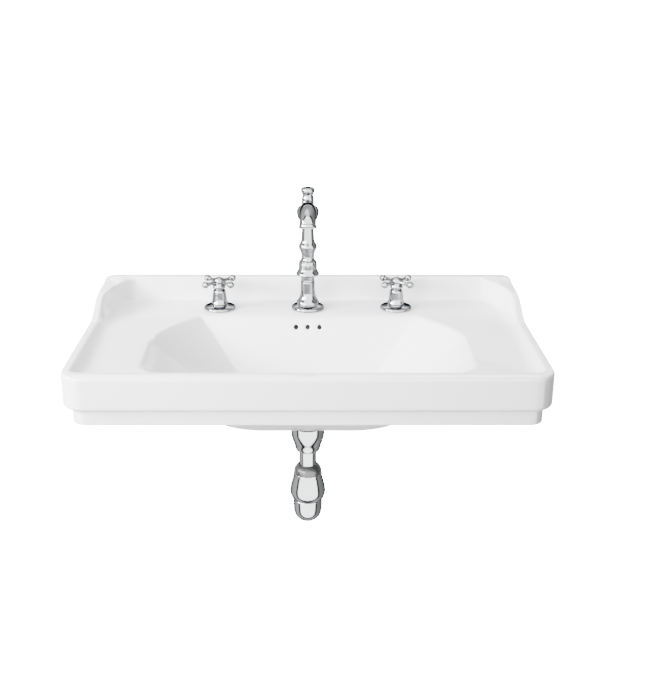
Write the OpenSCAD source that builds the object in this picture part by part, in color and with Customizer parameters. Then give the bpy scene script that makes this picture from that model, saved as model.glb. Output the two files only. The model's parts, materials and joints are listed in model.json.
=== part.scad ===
// Wall-hung washbasin with a three-hole tap set, a pop-up waste and a bottle trap.
// Millimetres. The wall is the plane y = 0, the front faces -y and z points up.
// The origin lies on the wall, midway between the two wall bolts.

/* [Basin] */
// Width of the basin
basin_w = 800; // [760:5:1000]
// Depth from the wall to the front face
basin_d = 460; // [455:1:520]
// Plan radius of the two front corners
corner_r = 38; // [32:0.5:44]
// Height of the upper band of the apron
band_h = 60; // [50:1:70]
// Height of the skirt below the band
skirt_h = 29; // [15:1:35]
// Set-back of the skirt behind the band
skirt_inset = 14; // [8:0.5:17]
// Rounding of the rim's outer edge
edge_r = 7; // [3:0.5:8]
// Rounding under the band
band_foot_r = 4; // [2:0.5:6]
// Thickness of the apron, the ledge and the back wall
wall_t = 12; // [9:0.5:13]
// Width of the side rims
rim_w = 14; // [11:0.5:20]
// Width of the front rim
front_rim_w = 30; // [24:1:36]
// Fillet between the rims and the deck
tray_r = 14; // [6:0.5:16]
// How far the wings' inner faces sweep inwards, along the upstand
wing_sweep_w = 44; // [20:1:60]
// Length of that sweep, along the wings
wing_sweep_l = 105; // [60:5:140]
// Drop of the tap ledge below the rim
deck_drop = 8; // [5:0.5:10]
// Extra fall of the deck towards the front
deck_fall = 5; // [2:0.5:8]
// Height of the upstand above the rim
upstand_h = 38; // [36:1:50]
// Thickness of the upstand at its top
upstand_t = 18; // [14:0.5:20]
// How much thicker the upstand is at its foot
upstand_lean = 3; // [0:0.5:5]
// Fillet at the foot of the upstand
upstand_foot_r = 6; // [2:0.5:10]
// Radius of the upstand's two top corners
top_corner_r = 18; // [6:1:25]
// Distance from the wall at which the wings start to rise
wing_front = 188; // [150:1:230]
// Distance from the wall at which the wings are up
wing_back = 92; // [60:1:110]
// Height of the wings above the rim
wing_rise = 30; // [20:1:32]
// Further rise of the wings towards the wall
wing_slope = 4; // [0:0.5:6]

/* [Bowl] */
// Depth of the bowl below the rim
bowl_depth = 152; // [140:1:165]
// Thickness of the bowl's wall
bowl_t = 12; // [10:0.5:13]
// Distance from the wall to the bowl's back edge
bowl_back = 120; // [116:1:130]
// Distance from the wall to the bowl's front edge
bowl_front = 402; // [380:1:405]
// Width of the bowl at the deck
bowl_w = 568; // [480:2:640]
// Width of the bowl's straight back edge
bowl_back_w = 390; // [300:2:410]
// Length of the slanted corners of the bowl's outline, along y
bowl_slant = 76; // [50:1:95]
// Width of the bowl's floor
floor_w = 334; // [260:2:350]
// Distance from the wall to the floor's back edge
floor_back = 168; // [160:1:175]
// Distance from the wall to the floor's front edge
floor_front = 345; // [320:1:360]
// Distance from the wall to the drain
drain_back = 240; // [232:1:250]
// Diameter of the drain hole
drain_d = 46; // [44:0.5:50]
// Diameter of the boss around the drain, underneath
boss_d = 66; // [64:0.5:80]
// Height of the boss under the bowl's floor
boss_h = 26; // [24:0.5:32]
// Diameter of the overflow holes
overflow_d = 9; // [6:0.5:11]
// Spacing of the three overflow holes
overflow_pitch = 22; // [16:1:26]
// Drop of the overflow holes below the rim
overflow_drop = 28.5; // [27:0.5:34]
// Width of the overflow channel
duct_w = 62; // [58:1:80]
// Depth of the overflow channel
duct_t = 9; // [6:0.5:10]
// Ceramic between the bowl, the overflow channel and the outside
duct_wall = 7; // [5:0.5:7.5]

/* [Wall fixing] */
// Drop of the wall bolts below the rim
fixing_drop = 75; // [60:1:85]
// Spacing of the wall bolts
fixing_spacing = 280; // [220:5:300]
// Diameter of the fixing holes in the ceramic
fixing_hole_d = 16; // [14:0.5:20]
// Diameter of the wall bolts' screw ends in the wall
bolt_d = 10; // [8:1:12]
// Diameter of their threaded ends in front of the wall
thread_d = 9; // [7.2:0.1:10.8]
// Length of a wall bolt inside the wall
bolt_in = 60; // [40:1:80]
// Length of a wall bolt in front of the wall
bolt_out = 36; // [30:1:50]
// How far the fixing pad reaches below the rim
pad_drop = 115; // [100:1:130]

/* [Taps] */
// Distance from the wall to the taps
tap_back = 75; // [72:0.5:77]
// Spacing of the two side valves
tap_spread = 339; // [300:1:380]
// Diameter of the tap holes
tap_hole_d = 35; // [32:0.5:36]
// Thread diameter of the shanks
shank_d = 26.4; // [24:0.2:27]
// Diameter of the valves' foot flanges
valve_flange_d = 60; // [56:1:64]
// Largest radius of the bonnets
bonnet_r = 16.2; // [15:0.2:18]
// Height of the bonnets
bonnet_h = 27.5; // [26:0.5:29]
// Largest radius of the handles' hubs
hub_r = 12.6; // [12:0.2:14]
// Height of the handles' arms above the rim
handle_z = 45.5; // [43:0.5:50]
// Distance from the valve's axis to the balls
handle_reach = 34; // [30:0.5:38]
// Diameter of the balls on the arms
handle_ball_d = 13; // [9:0.2:15]
// Angle of the arms from the basin's width, at rest
handle_angle = 45; // [30:1:60]
// Diameter of the spindles
spindle_d = 8; // [6:0.5:9]
// Diameter of the valve inlets' thread
inlet_d = 20.9; // [18:0.1:22]
// Length of the valve inlets' thread
inlet_len = 14; // [10:1:20]
// Drop of the link pipes below the rim
link_drop = 62; // [60:1:66]
// Diameter of the link pipes
link_d = 12; // [8:0.5:12]

/* [Spout] */
// Diameter of the spout's foot
spout_foot_d = 62; // [58:1:66]
// Largest radius of the spout's base above its foot
base_r = 21.8; // [20:0.2:24]
// Height of the swivel joint above the rim
swivel_z = 46; // [42:1:50]
// Largest radius of the ring over the swivel joint
ring_r = 22.2; // [20:0.2:24]
// Height of the head's widest point above the rim
head_z = 180.5; // [170:0.5:200]
// Largest radius of the head
head_r = 21; // [20:0.5:23]
// Largest radius of the knob on the head
knob_r = 13; // [11:0.5:15]
// Height of the knob on the head
knob_h = 24.8; // [22:0.2:28]
// Radius of the arm at its root
arm_root_r = 16; // [14:0.5:17.5]
// Radius of the arm at its mouth
arm_end_r = 15; // [14:0.1:16]
// Angle at which the arm leaves the head
arm_rise = 20; // [5:1:30]
// Bend radius of the arm's rising part
arm_rise_r = 150; // [100:5:200]
// Angle through which the arm turns down
arm_fall = 70; // [50:1:90]
// Bend radius where the arm turns down
arm_fall_r = 27; // [22:1:50]
// Diameter of the lift rod
lift_rod_d = 5; // [4:0.5:6]

/* [Waste] */
// Diameter of the waste flange
waste_flange_d = 62; // [58:1:66]
// Outer diameter of the waste's threaded tube
waste_tube_d = 38; // [36:0.5:40]
// Height of the waste body
waste_body_h = 48; // [44:1:56]
// Diameter of the tail pipe and the outlet pipe
pipe_d = 32; // [32:0.1:32.6]
// Wall of the pipes
pipe_wall = 1.2; // [0.8:0.1:2]
// Travel of the pop-up plug
plug_travel = 9; // [6:0.5:10]
// Depth of the lever's pivot below the waste body's seat
pivot_drop = 24; // [22:0.5:26]
// How far the lever's ball stands behind the flange's edge
lever_past = 2; // [1:0.5:3]
// Diameter of the lever
lever_d = 4.8; // [4:0.2:5]

/* [Trap] */
// Length of the tail pipe that shows over the trap
tail_len = 29; // [25:1:33]
// Height of the trap's top nut
trap_nut_h = 17; // [15:0.5:20]
// Height of the trap's body
trap_body_h = 53; // [50:1:58]
// Largest radius of the trap's body
trap_r = 33.2; // [31:0.2:36]
// Depth of the outlet's axis below the top of the trap's body
outlet_below = 25; // [24:0.5:27]
// Radius of the trap's cup
cup_r = 27; // [26:0.2:28.2]
// Height of the cup below the outlet's axis
cup_len = 76; // [70:1:100]
// Length of the outlet pipe inside the wall
outlet_in = 35; // [20:1:60]

/* [Fits] */
// Radial gap of a turning or sliding fit
run_gap = 0.05; // [0.02:0.01:0.1]
// Gap between two parts that move past each other
move_gap = 0.3; // [0.25:0.05:0.6]
// Thickness of the thin seals
seal_t = 1.2; // [0.8:0.1:2]
// Thickness of the washers
washer_t = 2; // [1.5:0.1:3]

/* [Hidden] */
$fn = 72;
rim_z = fixing_drop;
skirt_drop = band_h + skirt_h;
ledge_z = rim_z - deck_drop;
under_z = ledge_z - wall_t;
front_drop = deck_drop + deck_fall;
half_w = basin_w / 2;
hollow_inset = skirt_inset + wall_t;
tray_half = half_w - rim_w;
tray_top = upstand_h + 30;
pad_half = tap_spread / 2 + 42;
web_reach = bowl_back + bowl_slant;
valve_x = tap_spread / 2;
shank_r = shank_d / 2;
spindle_r = spindle_d / 2;
lever_r = lever_d / 2;
lift_r = lift_rod_d / 2;
pipe_r = pipe_d / 2;
pipe_bore_r = pipe_r - pipe_wall;
sides = [-1, 1];

// The lever of the pop-up waste and its tilt at rest
lever_front = waste_flange_d / 2 + lever_past;
pivot_back = drain_back - lever_front;
lever_back = pivot_back - tap_back;
lever_tilt = atan(plug_travel / 2 / lever_front);
body_seal_t = 3;
boss_drop = bowl_depth + boss_h;
waste_top = boss_drop + body_seal_t;
pivot_z = rim_z - waste_top - pivot_drop;
recess_t = 3;
flange_t = recess_t - seal_t + 0.6;
seat_drop = bowl_depth + recess_t;

// Outline of half of the bowl's mouth, from the back's middle to the front's
mouth_half = [
    [0, -bowl_back], [bowl_back_w / 2, -bowl_back],
    [bowl_back_w / 4 + bowl_w / 4, -bowl_back - bowl_slant * 0.44],
    [bowl_w / 2 - 3, -bowl_back - bowl_slant], [bowl_w / 2, -bowl_back - bowl_slant - 22],
    [bowl_w / 2, -bowl_front + 56], [bowl_w / 2 - 14, -bowl_front + 20],
    [bowl_w / 2 - 44, -bowl_front], [0, -bowl_front]];
// Outline of half of the bowl's floor, the same way round
floor_half = [
    [0, -floor_back], [floor_w * 0.4, -floor_back], [floor_w * 0.47, -floor_back - 46],
    [floor_w / 2, -floor_back - 94], [floor_w * 0.44, -floor_front + 28],
    [floor_w * 0.28, -floor_front], [0, -floor_front]];
// The floor's outlines, each a share of the first, and their heights over the lowest
floor_levels = [[1, 22], [0.83, 14], [0.68, 8], [0.36, 0]];
mouth_top = deck_drop - 2;

// Both sides of an outline whose right half is given
function both_sides(half) = concat(half, [for (i = [len(half) - 1:-1:0]) [-half[i][0], half[i][1]]]);
// Points of an arc in a plane
function arc(c, r, a0, a1, n) =
    [for (i = [0:n]) let (a = a0 + (a1 - a0) * i / n) [c[0] + r * cos(a), c[1] + r * sin(a)]];

// Helpers shared by the parts

// Something that stands at x, y and a height above the rim
module at(x, back, above) translate([x, -back, rim_z + above]) children();

// A body turned from an outline of [radius, height] points
module turned(outline) rotate_extrude() polygon(outline);

// An outline given in shares of a radius and a height
function scaled(outline, r, h) = [for (p = outline) [p[0] * r, p[1] * h]];

// A round tube
module tube(r, bore, h) {
    difference() {
        cylinder(r = r, h = h);
        translate([0, 0, -1]) cylinder(r = bore, h = h + 2);
    }
}

// A hexagon nut, across its flats
module hex_nut(flats, bore, h) {
    difference() {
        cylinder(d = flats / cos(30), h = h, $fn = 6);
        translate([0, 0, -1]) cylinder(r = bore, h = h + 2);
    }
}

// Basin

// Plan of the basin, square at the wall and rounded at the front, set in by a distance
module basin_plan(inset) {
    r = corner_r - inset;
    translate([-half_w + inset, -basin_d + inset + r])
        square([basin_w - 2 * inset, basin_d - inset - r]);
    translate([-half_w + inset + r, -basin_d + inset]) square([basin_w - 2 * (inset + r), r + 1]);
    for (s = sides) translate([s * (half_w - inset - r), -basin_d + inset + r]) circle(r = r);
}

// Carries a profile round both sides, the corners and the front, from a distance off the wall.
// The profile has x outwards from the face and y up.
module round_front(back) {
    run = basin_d - corner_r - back;
    for (s = [0, 1]) mirror([s, 0, 0]) {
        translate([half_w, -back, rim_z]) rotate([90, 0, 0]) linear_extrude(run) children();
        translate([half_w - corner_r, -basin_d + corner_r, rim_z]) rotate([0, 0, -90])
            rotate_extrude(angle = 90) translate([corner_r, 0]) children();
        translate([half_w - corner_r, -basin_d, rim_z]) rotate([90, 0, -90])
            linear_extrude(half_w - corner_r) children();
    }
}

// What is cut off to round an outer edge of radius r, under or over it
module edge_waste(r, up) {
    scale([1, up]) difference() {
        translate([-r, -r]) square([r + 1, r + 1]);
        translate([-r, -r]) circle(r = r);
    }
}

// Side elevation of the solid above the skirt: upstand, wings and rim
module side_elevation() {
    steps = 16;
    ogee = [for (i = [0:steps]) let (t = i / steps)
        [-wing_back - t * (wing_front - wing_back), wing_rise * (1 + cos(180 * t)) / 2]];
    polygon(concat(
        [[0, -skirt_drop], [0, upstand_h], [-upstand_t, upstand_h],
         [-upstand_t - upstand_lean, wing_rise + wing_slope]],
        ogee,
        [[-basin_d, 0], [-basin_d, -skirt_drop]]));
}

// Front elevation with its rounded top corners
module front_elevation() {
    translate([-half_w, -skirt_drop]) square([basin_w, skirt_drop + upstand_h - top_corner_r]);
    translate([-half_w + top_corner_r, 0]) square([basin_w - 2 * top_corner_r, upstand_h]);
    for (s = sides) translate([s * (half_w - top_corner_r), upstand_h - top_corner_r])
        circle(r = top_corner_r);
}

// Turns a drawing in x and z, or in y and z, into a solid across the whole basin
module along_y() rotate([90, 0, 0]) translate([0, rim_z, -1]) linear_extrude(basin_d + 2) children();
module along_x() translate([-half_w - 1, 0, rim_z]) rotate([90, 0, 90])
    linear_extrude(basin_w + 2) children();

// The shallow tray between the rims, with the ledge and the deck as its bottom
module tray() {
    foot = upstand_t + upstand_lean;
    front = basin_d - front_rim_w;
    intersection() {
        along_x() polygon(concat(
            [[-upstand_t, tray_top], [-upstand_t, upstand_h]],
            arc([-foot - upstand_foot_r, upstand_foot_r - deck_drop], upstand_foot_r, 0, -90, 5),
            [[-bowl_back, -deck_drop]],
            arc([-front + tray_r, tray_r - front_drop], tray_r, -90, -180, 8),
            [[-front, tray_top]]));
        along_y() polygon(concat(
            [[tray_half, tray_top]],
            arc([tray_half - tray_r, tray_r - front_drop], tray_r, 0, -90, 8),
            arc([-tray_half + tray_r, tray_r - front_drop], tray_r, -90, -180, 8),
            [[-tray_half, tray_top]]));
        translate([0, 0, rim_z - 50]) linear_extrude(50 + tray_top) tray_plan();
    }
}

// Plan of the tray. Its sides sweep inwards towards the upstand and meet it at an angle.
module tray_plan() {
    sweep = [for (i = [10:-1:0]) let (t = i / 10)
        [tray_half - wing_sweep_w * t * t, -upstand_t - wing_sweep_l * (1 - t) * (1 - 0.3 * t)]];
    polygon(both_sides(concat([[0, -upstand_t]], sweep, [[tray_half, -basin_d], [0, -basin_d]])));
}

// A thin plate of one of the bowl's outlines, grown by a wall and shrunk towards the drain
module bowl_plate(half, share, drop, grow) {
    translate([0, -drain_back, rim_z - drop]) linear_extrude(0.2) offset(r = grow, $fn = 24)
        scale([share, share]) translate([0, drain_back]) polygon(both_sides(half));
}

// The bowl's hollow, or with a wall the bowl's outside
module bowl_form(grow, top) {
    hull() {
        bowl_plate(mouth_half, 1, top, grow);
        for (l = floor_levels)
            bowl_plate(floor_half, l[0], bowl_depth - l[1] + grow * (1 - l[1] / 45), grow);
    }
}

// How far the bowl's back wall stands off the wall at a drop below the rim
function bowl_wall(drop) = bowl_back
    + (floor_back - bowl_back) * (drop - mouth_top) / (bowl_depth - floor_levels[0][1] - mouth_top);

// The overflow channel behind the bowl, or with a wall its outside
module duct_slice(drop, grow) {
    translate([-duct_w / 2 - grow, -bowl_wall(drop) + duct_wall + 1 - grow, rim_z - drop - grow])
        cube([duct_w + 2 * grow, duct_t + 2 * grow, 1 + 2 * grow]);
}
module duct(grow) {
    foot = bowl_depth - 5;
    inlet = seat_drop + 9;
    hull() {
        duct_slice(overflow_drop - overflow_d / 2 - 2, grow);
        duct_slice(foot, grow);
    }
    hull() {
        duct_slice(foot, grow);
        translate([-12 - grow, -drain_back + drain_d / 2 - 3, rim_z - inlet - 5 - grow])
            cube([24 + 2 * grow, 5 + grow, 6 + 2 * grow]);
    }
}

module basin() color("white") difference() {
    union() {
        difference() {
            intersection() {
                union() {
                    translate([0, 0, rim_z - band_h]) linear_extrude(band_h + upstand_h)
                        basin_plan(0);
                    translate([0, 0, rim_z - skirt_drop]) linear_extrude(skirt_h + 1)
                        basin_plan(skirt_inset);
                }
                along_x() side_elevation();
                along_y() front_elevation();
            }
            translate([0, 0, rim_z - skirt_drop - 1]) linear_extrude(under_z - rim_z + skirt_drop + 1)
                intersection() {
                    basin_plan(hollow_inset);
                    translate([-half_w, -basin_d]) square([basin_w, basin_d - wall_t]);
                }
        }
        bowl_form(bowl_t, deck_drop + wall_t / 2);
        difference() {
            duct(duct_wall);
            at(0, drain_back, -boss_drop - 20) cylinder(r = 100, h = 20);
        }
        at(0, drain_back, -boss_drop) cylinder(d = boss_d, h = boss_drop - bowl_depth);
        translate([-pad_half, -wall_t, rim_z - pad_drop])
            cube([2 * pad_half, wall_t, pad_drop - deck_drop - 1]);
        for (s = [0, 1]) mirror([s, 0, 0])
            translate([pad_half - wall_t, -web_reach, rim_z - skirt_drop + 4])
                cube([wall_t, web_reach - 1, skirt_drop - deck_drop - 5]);
    }
    tray();
    bowl_form(0, mouth_top);
    round_front(wing_front) edge_waste(edge_r, 1);
    round_front(0) translate([0, -band_h]) edge_waste(band_foot_r, -1);
    duct(0);
    for (i = [-1:1]) at(i * overflow_pitch, bowl_wall(overflow_drop) + 4, -overflow_drop)
        rotate([-90, 0, 0]) cylinder(d = overflow_d, h = duct_wall + 8);
    for (x = [-valve_x, 0, valve_x]) at(x, tap_back, -deck_drop - wall_t - 1)
        cylinder(d = tap_hole_d, h = wall_t + 2);
    at(0, drain_back, -boss_drop - 1) cylinder(d = drain_d, h = boss_drop);
    at(0, drain_back, -seat_drop) cylinder(d = waste_flange_d + 2, h = recess_t + 5);
    for (s = sides) translate([s * fixing_spacing / 2, 1, 0]) rotate([90, 0, 0])
        cylinder(d = fixing_hole_d, h = wall_t + 2);
}

// Wall fixing

// Copies to both wall bolts, with z pointing away from the wall
module at_bolts(back) for (s = sides)
    translate([s * fixing_spacing / 2, -back, 0]) rotate([90, 0, 0]) children();

sleeve_flange_t = 2.5;
module wall_bolts() color("silver") {
    at_bolts(-bolt_in) cylinder(d = bolt_d, h = bolt_in);
    at_bolts(-1) cylinder(d = thread_d, h = bolt_out + 1);
}
module bolt_sleeves() color("ivory") at_bolts(0) difference() {
    union() {
        cylinder(d = fixing_hole_d - 2 * run_gap, h = wall_t);
        translate([0, 0, wall_t]) cylinder(d = fixing_hole_d + 10, h = sleeve_flange_t);
    }
    translate([0, 0, -1]) cylinder(d = thread_d + 2 * run_gap, h = wall_t + sleeve_flange_t + 2);
}
module bolt_washers() color("silver") at_bolts(wall_t + sleeve_flange_t)
    tube(bolt_d + 2, thread_d / 2 + run_gap, washer_t);
module bolt_nuts() color("silver") at_bolts(wall_t + sleeve_flange_t + washer_t)
    hex_nut(bolt_d * 1.7, thread_d / 2 + run_gap, bolt_d * 0.8);

// Waste

tube_r = waste_tube_d / 2;
tube_bore_r = tube_r - 2;
seat_w = 5;
seat_h = 4.4;
seat_r = tube_bore_r + seat_w;
tube_drop = waste_top + 11;
socket_h = 13;
body_foot_drop = waste_top + waste_body_h;

// The chain of heights down the trap
trap_drop = body_foot_drop + tail_len;
body_top = trap_drop + trap_nut_h;
body_foot = body_top + trap_body_h;
outlet_drop = body_top + outlet_below;
cup_drop = outlet_drop + cup_len;

module waste_flange() color("silver") difference() {
    at(0, drain_back, -seat_drop + seal_t) turned([
        [tube_bore_r, seat_drop - seal_t - tube_drop], [tube_r, seat_drop - seal_t - tube_drop],
        [tube_r, 0], [waste_flange_d / 2, 0], [waste_flange_d / 2, flange_t - 1],
        [waste_flange_d / 2 - 2, flange_t], [seat_r + 2, flange_t], [seat_r, flange_t - 0.6],
        [tube_bore_r, flange_t - 0.6 - seat_h]]);
    for (a = [0:90:270]) at(0, drain_back, -seat_drop - 8) rotate([0, 0, a])
        translate([-6, tube_bore_r - 3, -3]) cube([12, 8, 6]);
}
module flange_seal() color("dimgray") at(0, drain_back, -seat_drop)
    tube(waste_flange_d / 2 - 2, tube_r + 1.5, seal_t);
module body_seal() color("dimgray") at(0, drain_back, -waste_top)
    tube(waste_flange_d / 2 - 1, tube_r + run_gap, body_seal_t);

port_r = 10;
port_out = 12;
seat_bore_r = 8;
ball_r = 6;
cone_r = lever_r + 3;
module waste_body() color("silver") difference() {
    union() {
        at(0, drain_back, -waste_top) turned([
            [0, 0], [waste_flange_d / 2, 0], [waste_flange_d / 2, -14],
            [waste_flange_d / 2 - 0.8, -20], [waste_flange_d / 2 - 3, -28],
            [waste_flange_d / 2 - 6, -36], [waste_flange_d / 2 - 7.8, -waste_body_h + 4],
            [waste_flange_d / 2 - 9.2, -waste_body_h], [0, -waste_body_h]]);
        translate([0, -pivot_back - 12, pivot_z]) rotate([-90, 0, 0])
            cylinder(r = port_r, h = 12 + port_out - 5);
    }
    at(0, drain_back, -tube_drop - 0.2) cylinder(r = tube_r + run_gap, h = 30);
    at(0, drain_back, -body_foot_drop) cylinder(r = pipe_bore_r, h = waste_body_h);
    at(0, drain_back, -body_foot_drop + socket_h + 3)
        cylinder(r = tube_bore_r, h = waste_body_h - socket_h - 4);
    at(0, drain_back, -body_foot_drop - 1) cylinder(r = pipe_r + run_gap, h = socket_h + 1);
    translate([0, -pivot_back - ball_r - 1, pivot_z]) rotate([-90, 0, 0])
        cylinder(r = seat_bore_r, h = 30);
    translate([0, -drain_back, pivot_z]) rotate([-90, 0, 0]) cylinder(r = cone_r, h = lever_front);
}
module ball_seat() color("ivory") difference() {
    translate([0, -pivot_back - ball_r - 1, pivot_z]) rotate([-90, 0, 0])
        cylinder(r = seat_bore_r - run_gap, h = ball_r + 1 + port_out - 5);
    translate([0, -pivot_back, pivot_z]) sphere(r = ball_r + run_gap);
    translate([0, -drain_back, pivot_z]) rotate([-90, 0, 0]) cylinder(r = cone_r, h = lever_front + 30);
}
module ball_nut() color("silver") difference() {
    translate([0, -pivot_back, pivot_z]) rotate([-90, 0, 0])
        cylinder(d = 2 * (port_r + 3) / cos(30), h = port_out - 2, $fn = 6);
    translate([0, -pivot_back - 1, pivot_z]) rotate([-90, 0, 0])
        cylinder(r = port_r + run_gap, h = port_out - 4);
    translate([0, -pivot_back, pivot_z]) rotate([-90, 0, 0]) cylinder(r = cone_r, h = 30);
}
dip_drop = cup_drop - 18;
module tail_pipe() color("silver") at(0, drain_back, -dip_drop)
    tube(pipe_r, pipe_bore_r, dip_drop - body_foot_drop + socket_h);

// The plug stands open at rest, a full travel above its seat
plug_seal_r = seat_r - 1.6;
plug_z = -seat_drop + seal_t + flange_t - 0.6 - (seat_r - plug_seal_r) * seat_h / seat_w
    + move_gap + plug_travel;
eye_z = lever_front * tan(lever_tilt);
eye_r = 6.5;
module plug() color("silver") difference() {
    union() {
        at(0, drain_back, plug_z) turned([
            [0, -1], [12, -1], [14, 0.8], [seat_r - 1.2, 0.8], [seat_r - 0.4, 1.8],
            [seat_r - 0.6, 3], [seat_r - 5, 4.4], [0, 5.6]]);
        translate([0, -drain_back, pivot_z + eye_z + eye_r - 1])
            cylinder(r = 4, h = rim_z + plug_z - pivot_z - eye_z - eye_r + 1);
        for (a = [0:120:240]) at(0, drain_back, plug_z - 16) rotate([0, 0, a])
            translate([0, -1, 0]) cube([tube_bore_r - move_gap, 2, 12]);
        for (a = [0:120:240]) at(0, drain_back, plug_z - 5) rotate([0, 0, a])
            translate([0, -1, 0]) cube([11, 2, 5]);
        translate([0, -drain_back - 3, pivot_z + eye_z]) rotate([-90, 0, 0])
            cylinder(r = eye_r, h = 6);
    }
    translate([0, -drain_back - 4, pivot_z + eye_z]) rotate([-90, 0, 0])
        cylinder(r = lever_r + 1.2, h = 8);
}
module plug_seal() color("dimgray") at(0, drain_back, plug_z)
    tube(plug_seal_r, 14.4, 0.8);

// The lever, its ball and the strap that pulls it
lever_tip = 6;
lever_tail = 14;
module ball_lever() color("silver") translate([0, -pivot_back, pivot_z]) rotate([-lever_tilt, 0, 0]) {
    sphere(r = ball_r);
    translate([0, -lever_front - lever_tip, 0]) rotate([-90, 0, 0])
        cylinder(r = lever_r, h = lever_front + lever_tip + lever_back + lever_tail);
}
strap_t = 2;
strap_w = 12;
clamp_h = 16;
strap_hole_z = pivot_z - lever_back * tan(lever_tilt);
strap_pitch = 14;
clamp_z = strap_hole_z + 5 * strap_pitch;
module lift_strap() color("silver") difference() {
    union() {
        translate([-strap_w / 2, -tap_back - strap_t / 2, strap_hole_z - 8])
            cube([strap_w, strap_t, clamp_z - strap_hole_z + 9]);
        translate([-strap_w / 2, -tap_back - strap_w / 2, clamp_z]) cube([strap_w, strap_w, clamp_h]);
    }
    for (i = [0:4]) translate([0, -tap_back - strap_t, strap_hole_z + i * strap_pitch])
        rotate([-90, 0, 0]) cylinder(r = lever_r + 1.1, h = 2 * strap_t);
    translate([0, -tap_back, clamp_z + 3]) cylinder(r = lift_r + run_gap, h = clamp_h);
    translate([0, -tap_back, clamp_z + clamp_h / 2 + 2]) rotate([0, 90, 0])
        cylinder(r = 2 + run_gap, h = strap_w);
}
module strap_screw() color("silver")
    translate([lift_r + run_gap, -tap_back, clamp_z + clamp_h / 2 + 2]) rotate([0, 90, 0]) {
        cylinder(r = 2, h = strap_w / 2 - lift_r);
        translate([0, 0, strap_w / 2 - lift_r]) cylinder(r = 5, h = 5);
    }

// Height of the knob's underside above the rim, and of the lift rod's top
gland_top = 1.05 * head_r;
knob_z = head_z + gland_top + move_gap;
knob_bore = 14;
module lift_rod() color("silver") translate([0, -tap_back, clamp_z + 3 + run_gap])
    cylinder(r = lift_r, h = rim_z + knob_z + knob_bore - clamp_z - 3 - run_gap);
module lift_knob() color("silver") difference() {
    at(0, tap_back, knob_z) turned(scaled([
        [0, 0], [0.84, 0], [0.88, 0.05], [0.87, 0.18], [0.81, 0.28], [0.78, 0.36],
        [0.78, 0.44], [0.82, 0.52], [0.94, 0.6], [1, 0.69], [1, 0.82],
        [0.91, 0.92], [0.7, 0.976], [0.385, 0.992], [0, 1]], knob_r, knob_h));
    at(0, tap_back, knob_z - 1) cylinder(r = lift_r + run_gap, h = knob_bore + 1 + 2 * run_gap);
}

// Trap

cup_neck_r = cup_r - 2;
module trap_nut() color("#202020") difference() {
    at(0, drain_back, -trap_drop) turned(scaled([
        [0, 0], [0.696, 0], [0.856, -0.265], [0.968, -0.53], [1, -0.765], [1, -1], [0, -1]],
        pipe_r + 9.8, trap_nut_h));
    at(0, drain_back, -body_top - 1) cylinder(r = pipe_r + run_gap, h = trap_nut_h + 2);
}
outlet_socket_r = pipe_r + 3;
outlet_face = drain_back - trap_r - 16;
nut_face = outlet_face - 7;
// The pipe's end in the trap is rolled in a little, to enter the seal
outlet_end_r = pipe_r - 0.5;
module trap_body() color("silver") difference() {
    union() {
        at(0, drain_back, -body_top) turned(scaled([
            [0, 0], [0.772, 0], [0.802, -0.02], [0.809, -0.15], [0.827, -0.19], [0.877, -0.32],
            [0.963, -0.53], [1, -0.68], [1, -0.775], [0.975, -0.85], [0.87, -1], [0, -1]],
            trap_r, trap_body_h));
        at(0, drain_back, -outlet_drop) rotate([-90, 0, 0])
            cylinder(r = outlet_socket_r, h = drain_back - outlet_face);
    }
    at(0, drain_back, -body_top - 14) cylinder(r = pipe_r + run_gap, h = 16);
    at(0, drain_back, -body_foot - 1) cylinder(r = cup_neck_r + run_gap, h = trap_body_h - 11);
    at(0, drain_back, -outlet_drop) rotate([-90, 0, 0]) cylinder(r = pipe_bore_r, h = trap_r);
    at(0, drain_back - trap_r, -outlet_drop) rotate([-90, 0, 0])
        cylinder(r = outlet_end_r + run_gap, h = 60);
}
cup_wall = 2;
module trap_cup() color("silver") at(0, drain_back, 0) turned([
    [0, -cup_drop], [cup_r * 0.34, -cup_drop + 0.8], [cup_r * 0.56, -cup_drop + 3.4],
    [cup_r * 0.74, -cup_drop + 7.5], [cup_r * 0.87, -cup_drop + 12.5],
    [cup_r * 0.95, -cup_drop + 18], [cup_r * 0.985, -cup_drop + 24], [cup_r, -cup_drop + 34],
    [cup_r, -body_foot - seal_t], [cup_neck_r, -body_foot - seal_t],
    [cup_neck_r, -outlet_drop - pipe_r - 2],
    [cup_neck_r - cup_wall, -outlet_drop - pipe_r - 2],
    [cup_neck_r - cup_wall, -cup_drop + 27], [cup_r * 0.72, -cup_drop + 15.5],
    [cup_r * 0.42, -cup_drop + 7], [0, -cup_drop + 3.5]]);
module cup_seal() color("dimgray") at(0, drain_back, -body_foot - seal_t)
    tube(cup_r - 0.4, cup_neck_r + run_gap, seal_t);
module outlet_pipe() color("silver")
    translate([0, -nut_face, rim_z - outlet_drop]) rotate([-90, 0, 0]) {
        tube(pipe_r, pipe_bore_r, nut_face + outlet_in);
        translate([0, 0, -drain_back + trap_r + 1 + nut_face])
            tube(outlet_end_r, pipe_bore_r, drain_back - trap_r - nut_face);
    }
outlet_seal_t = 4;
module outlet_seal() color("dimgray") translate([0, -outlet_face, rim_z - outlet_drop])
    rotate([-90, 0, 0]) tube(outlet_socket_r - 0.5, outlet_end_r + run_gap, outlet_seal_t);
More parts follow.
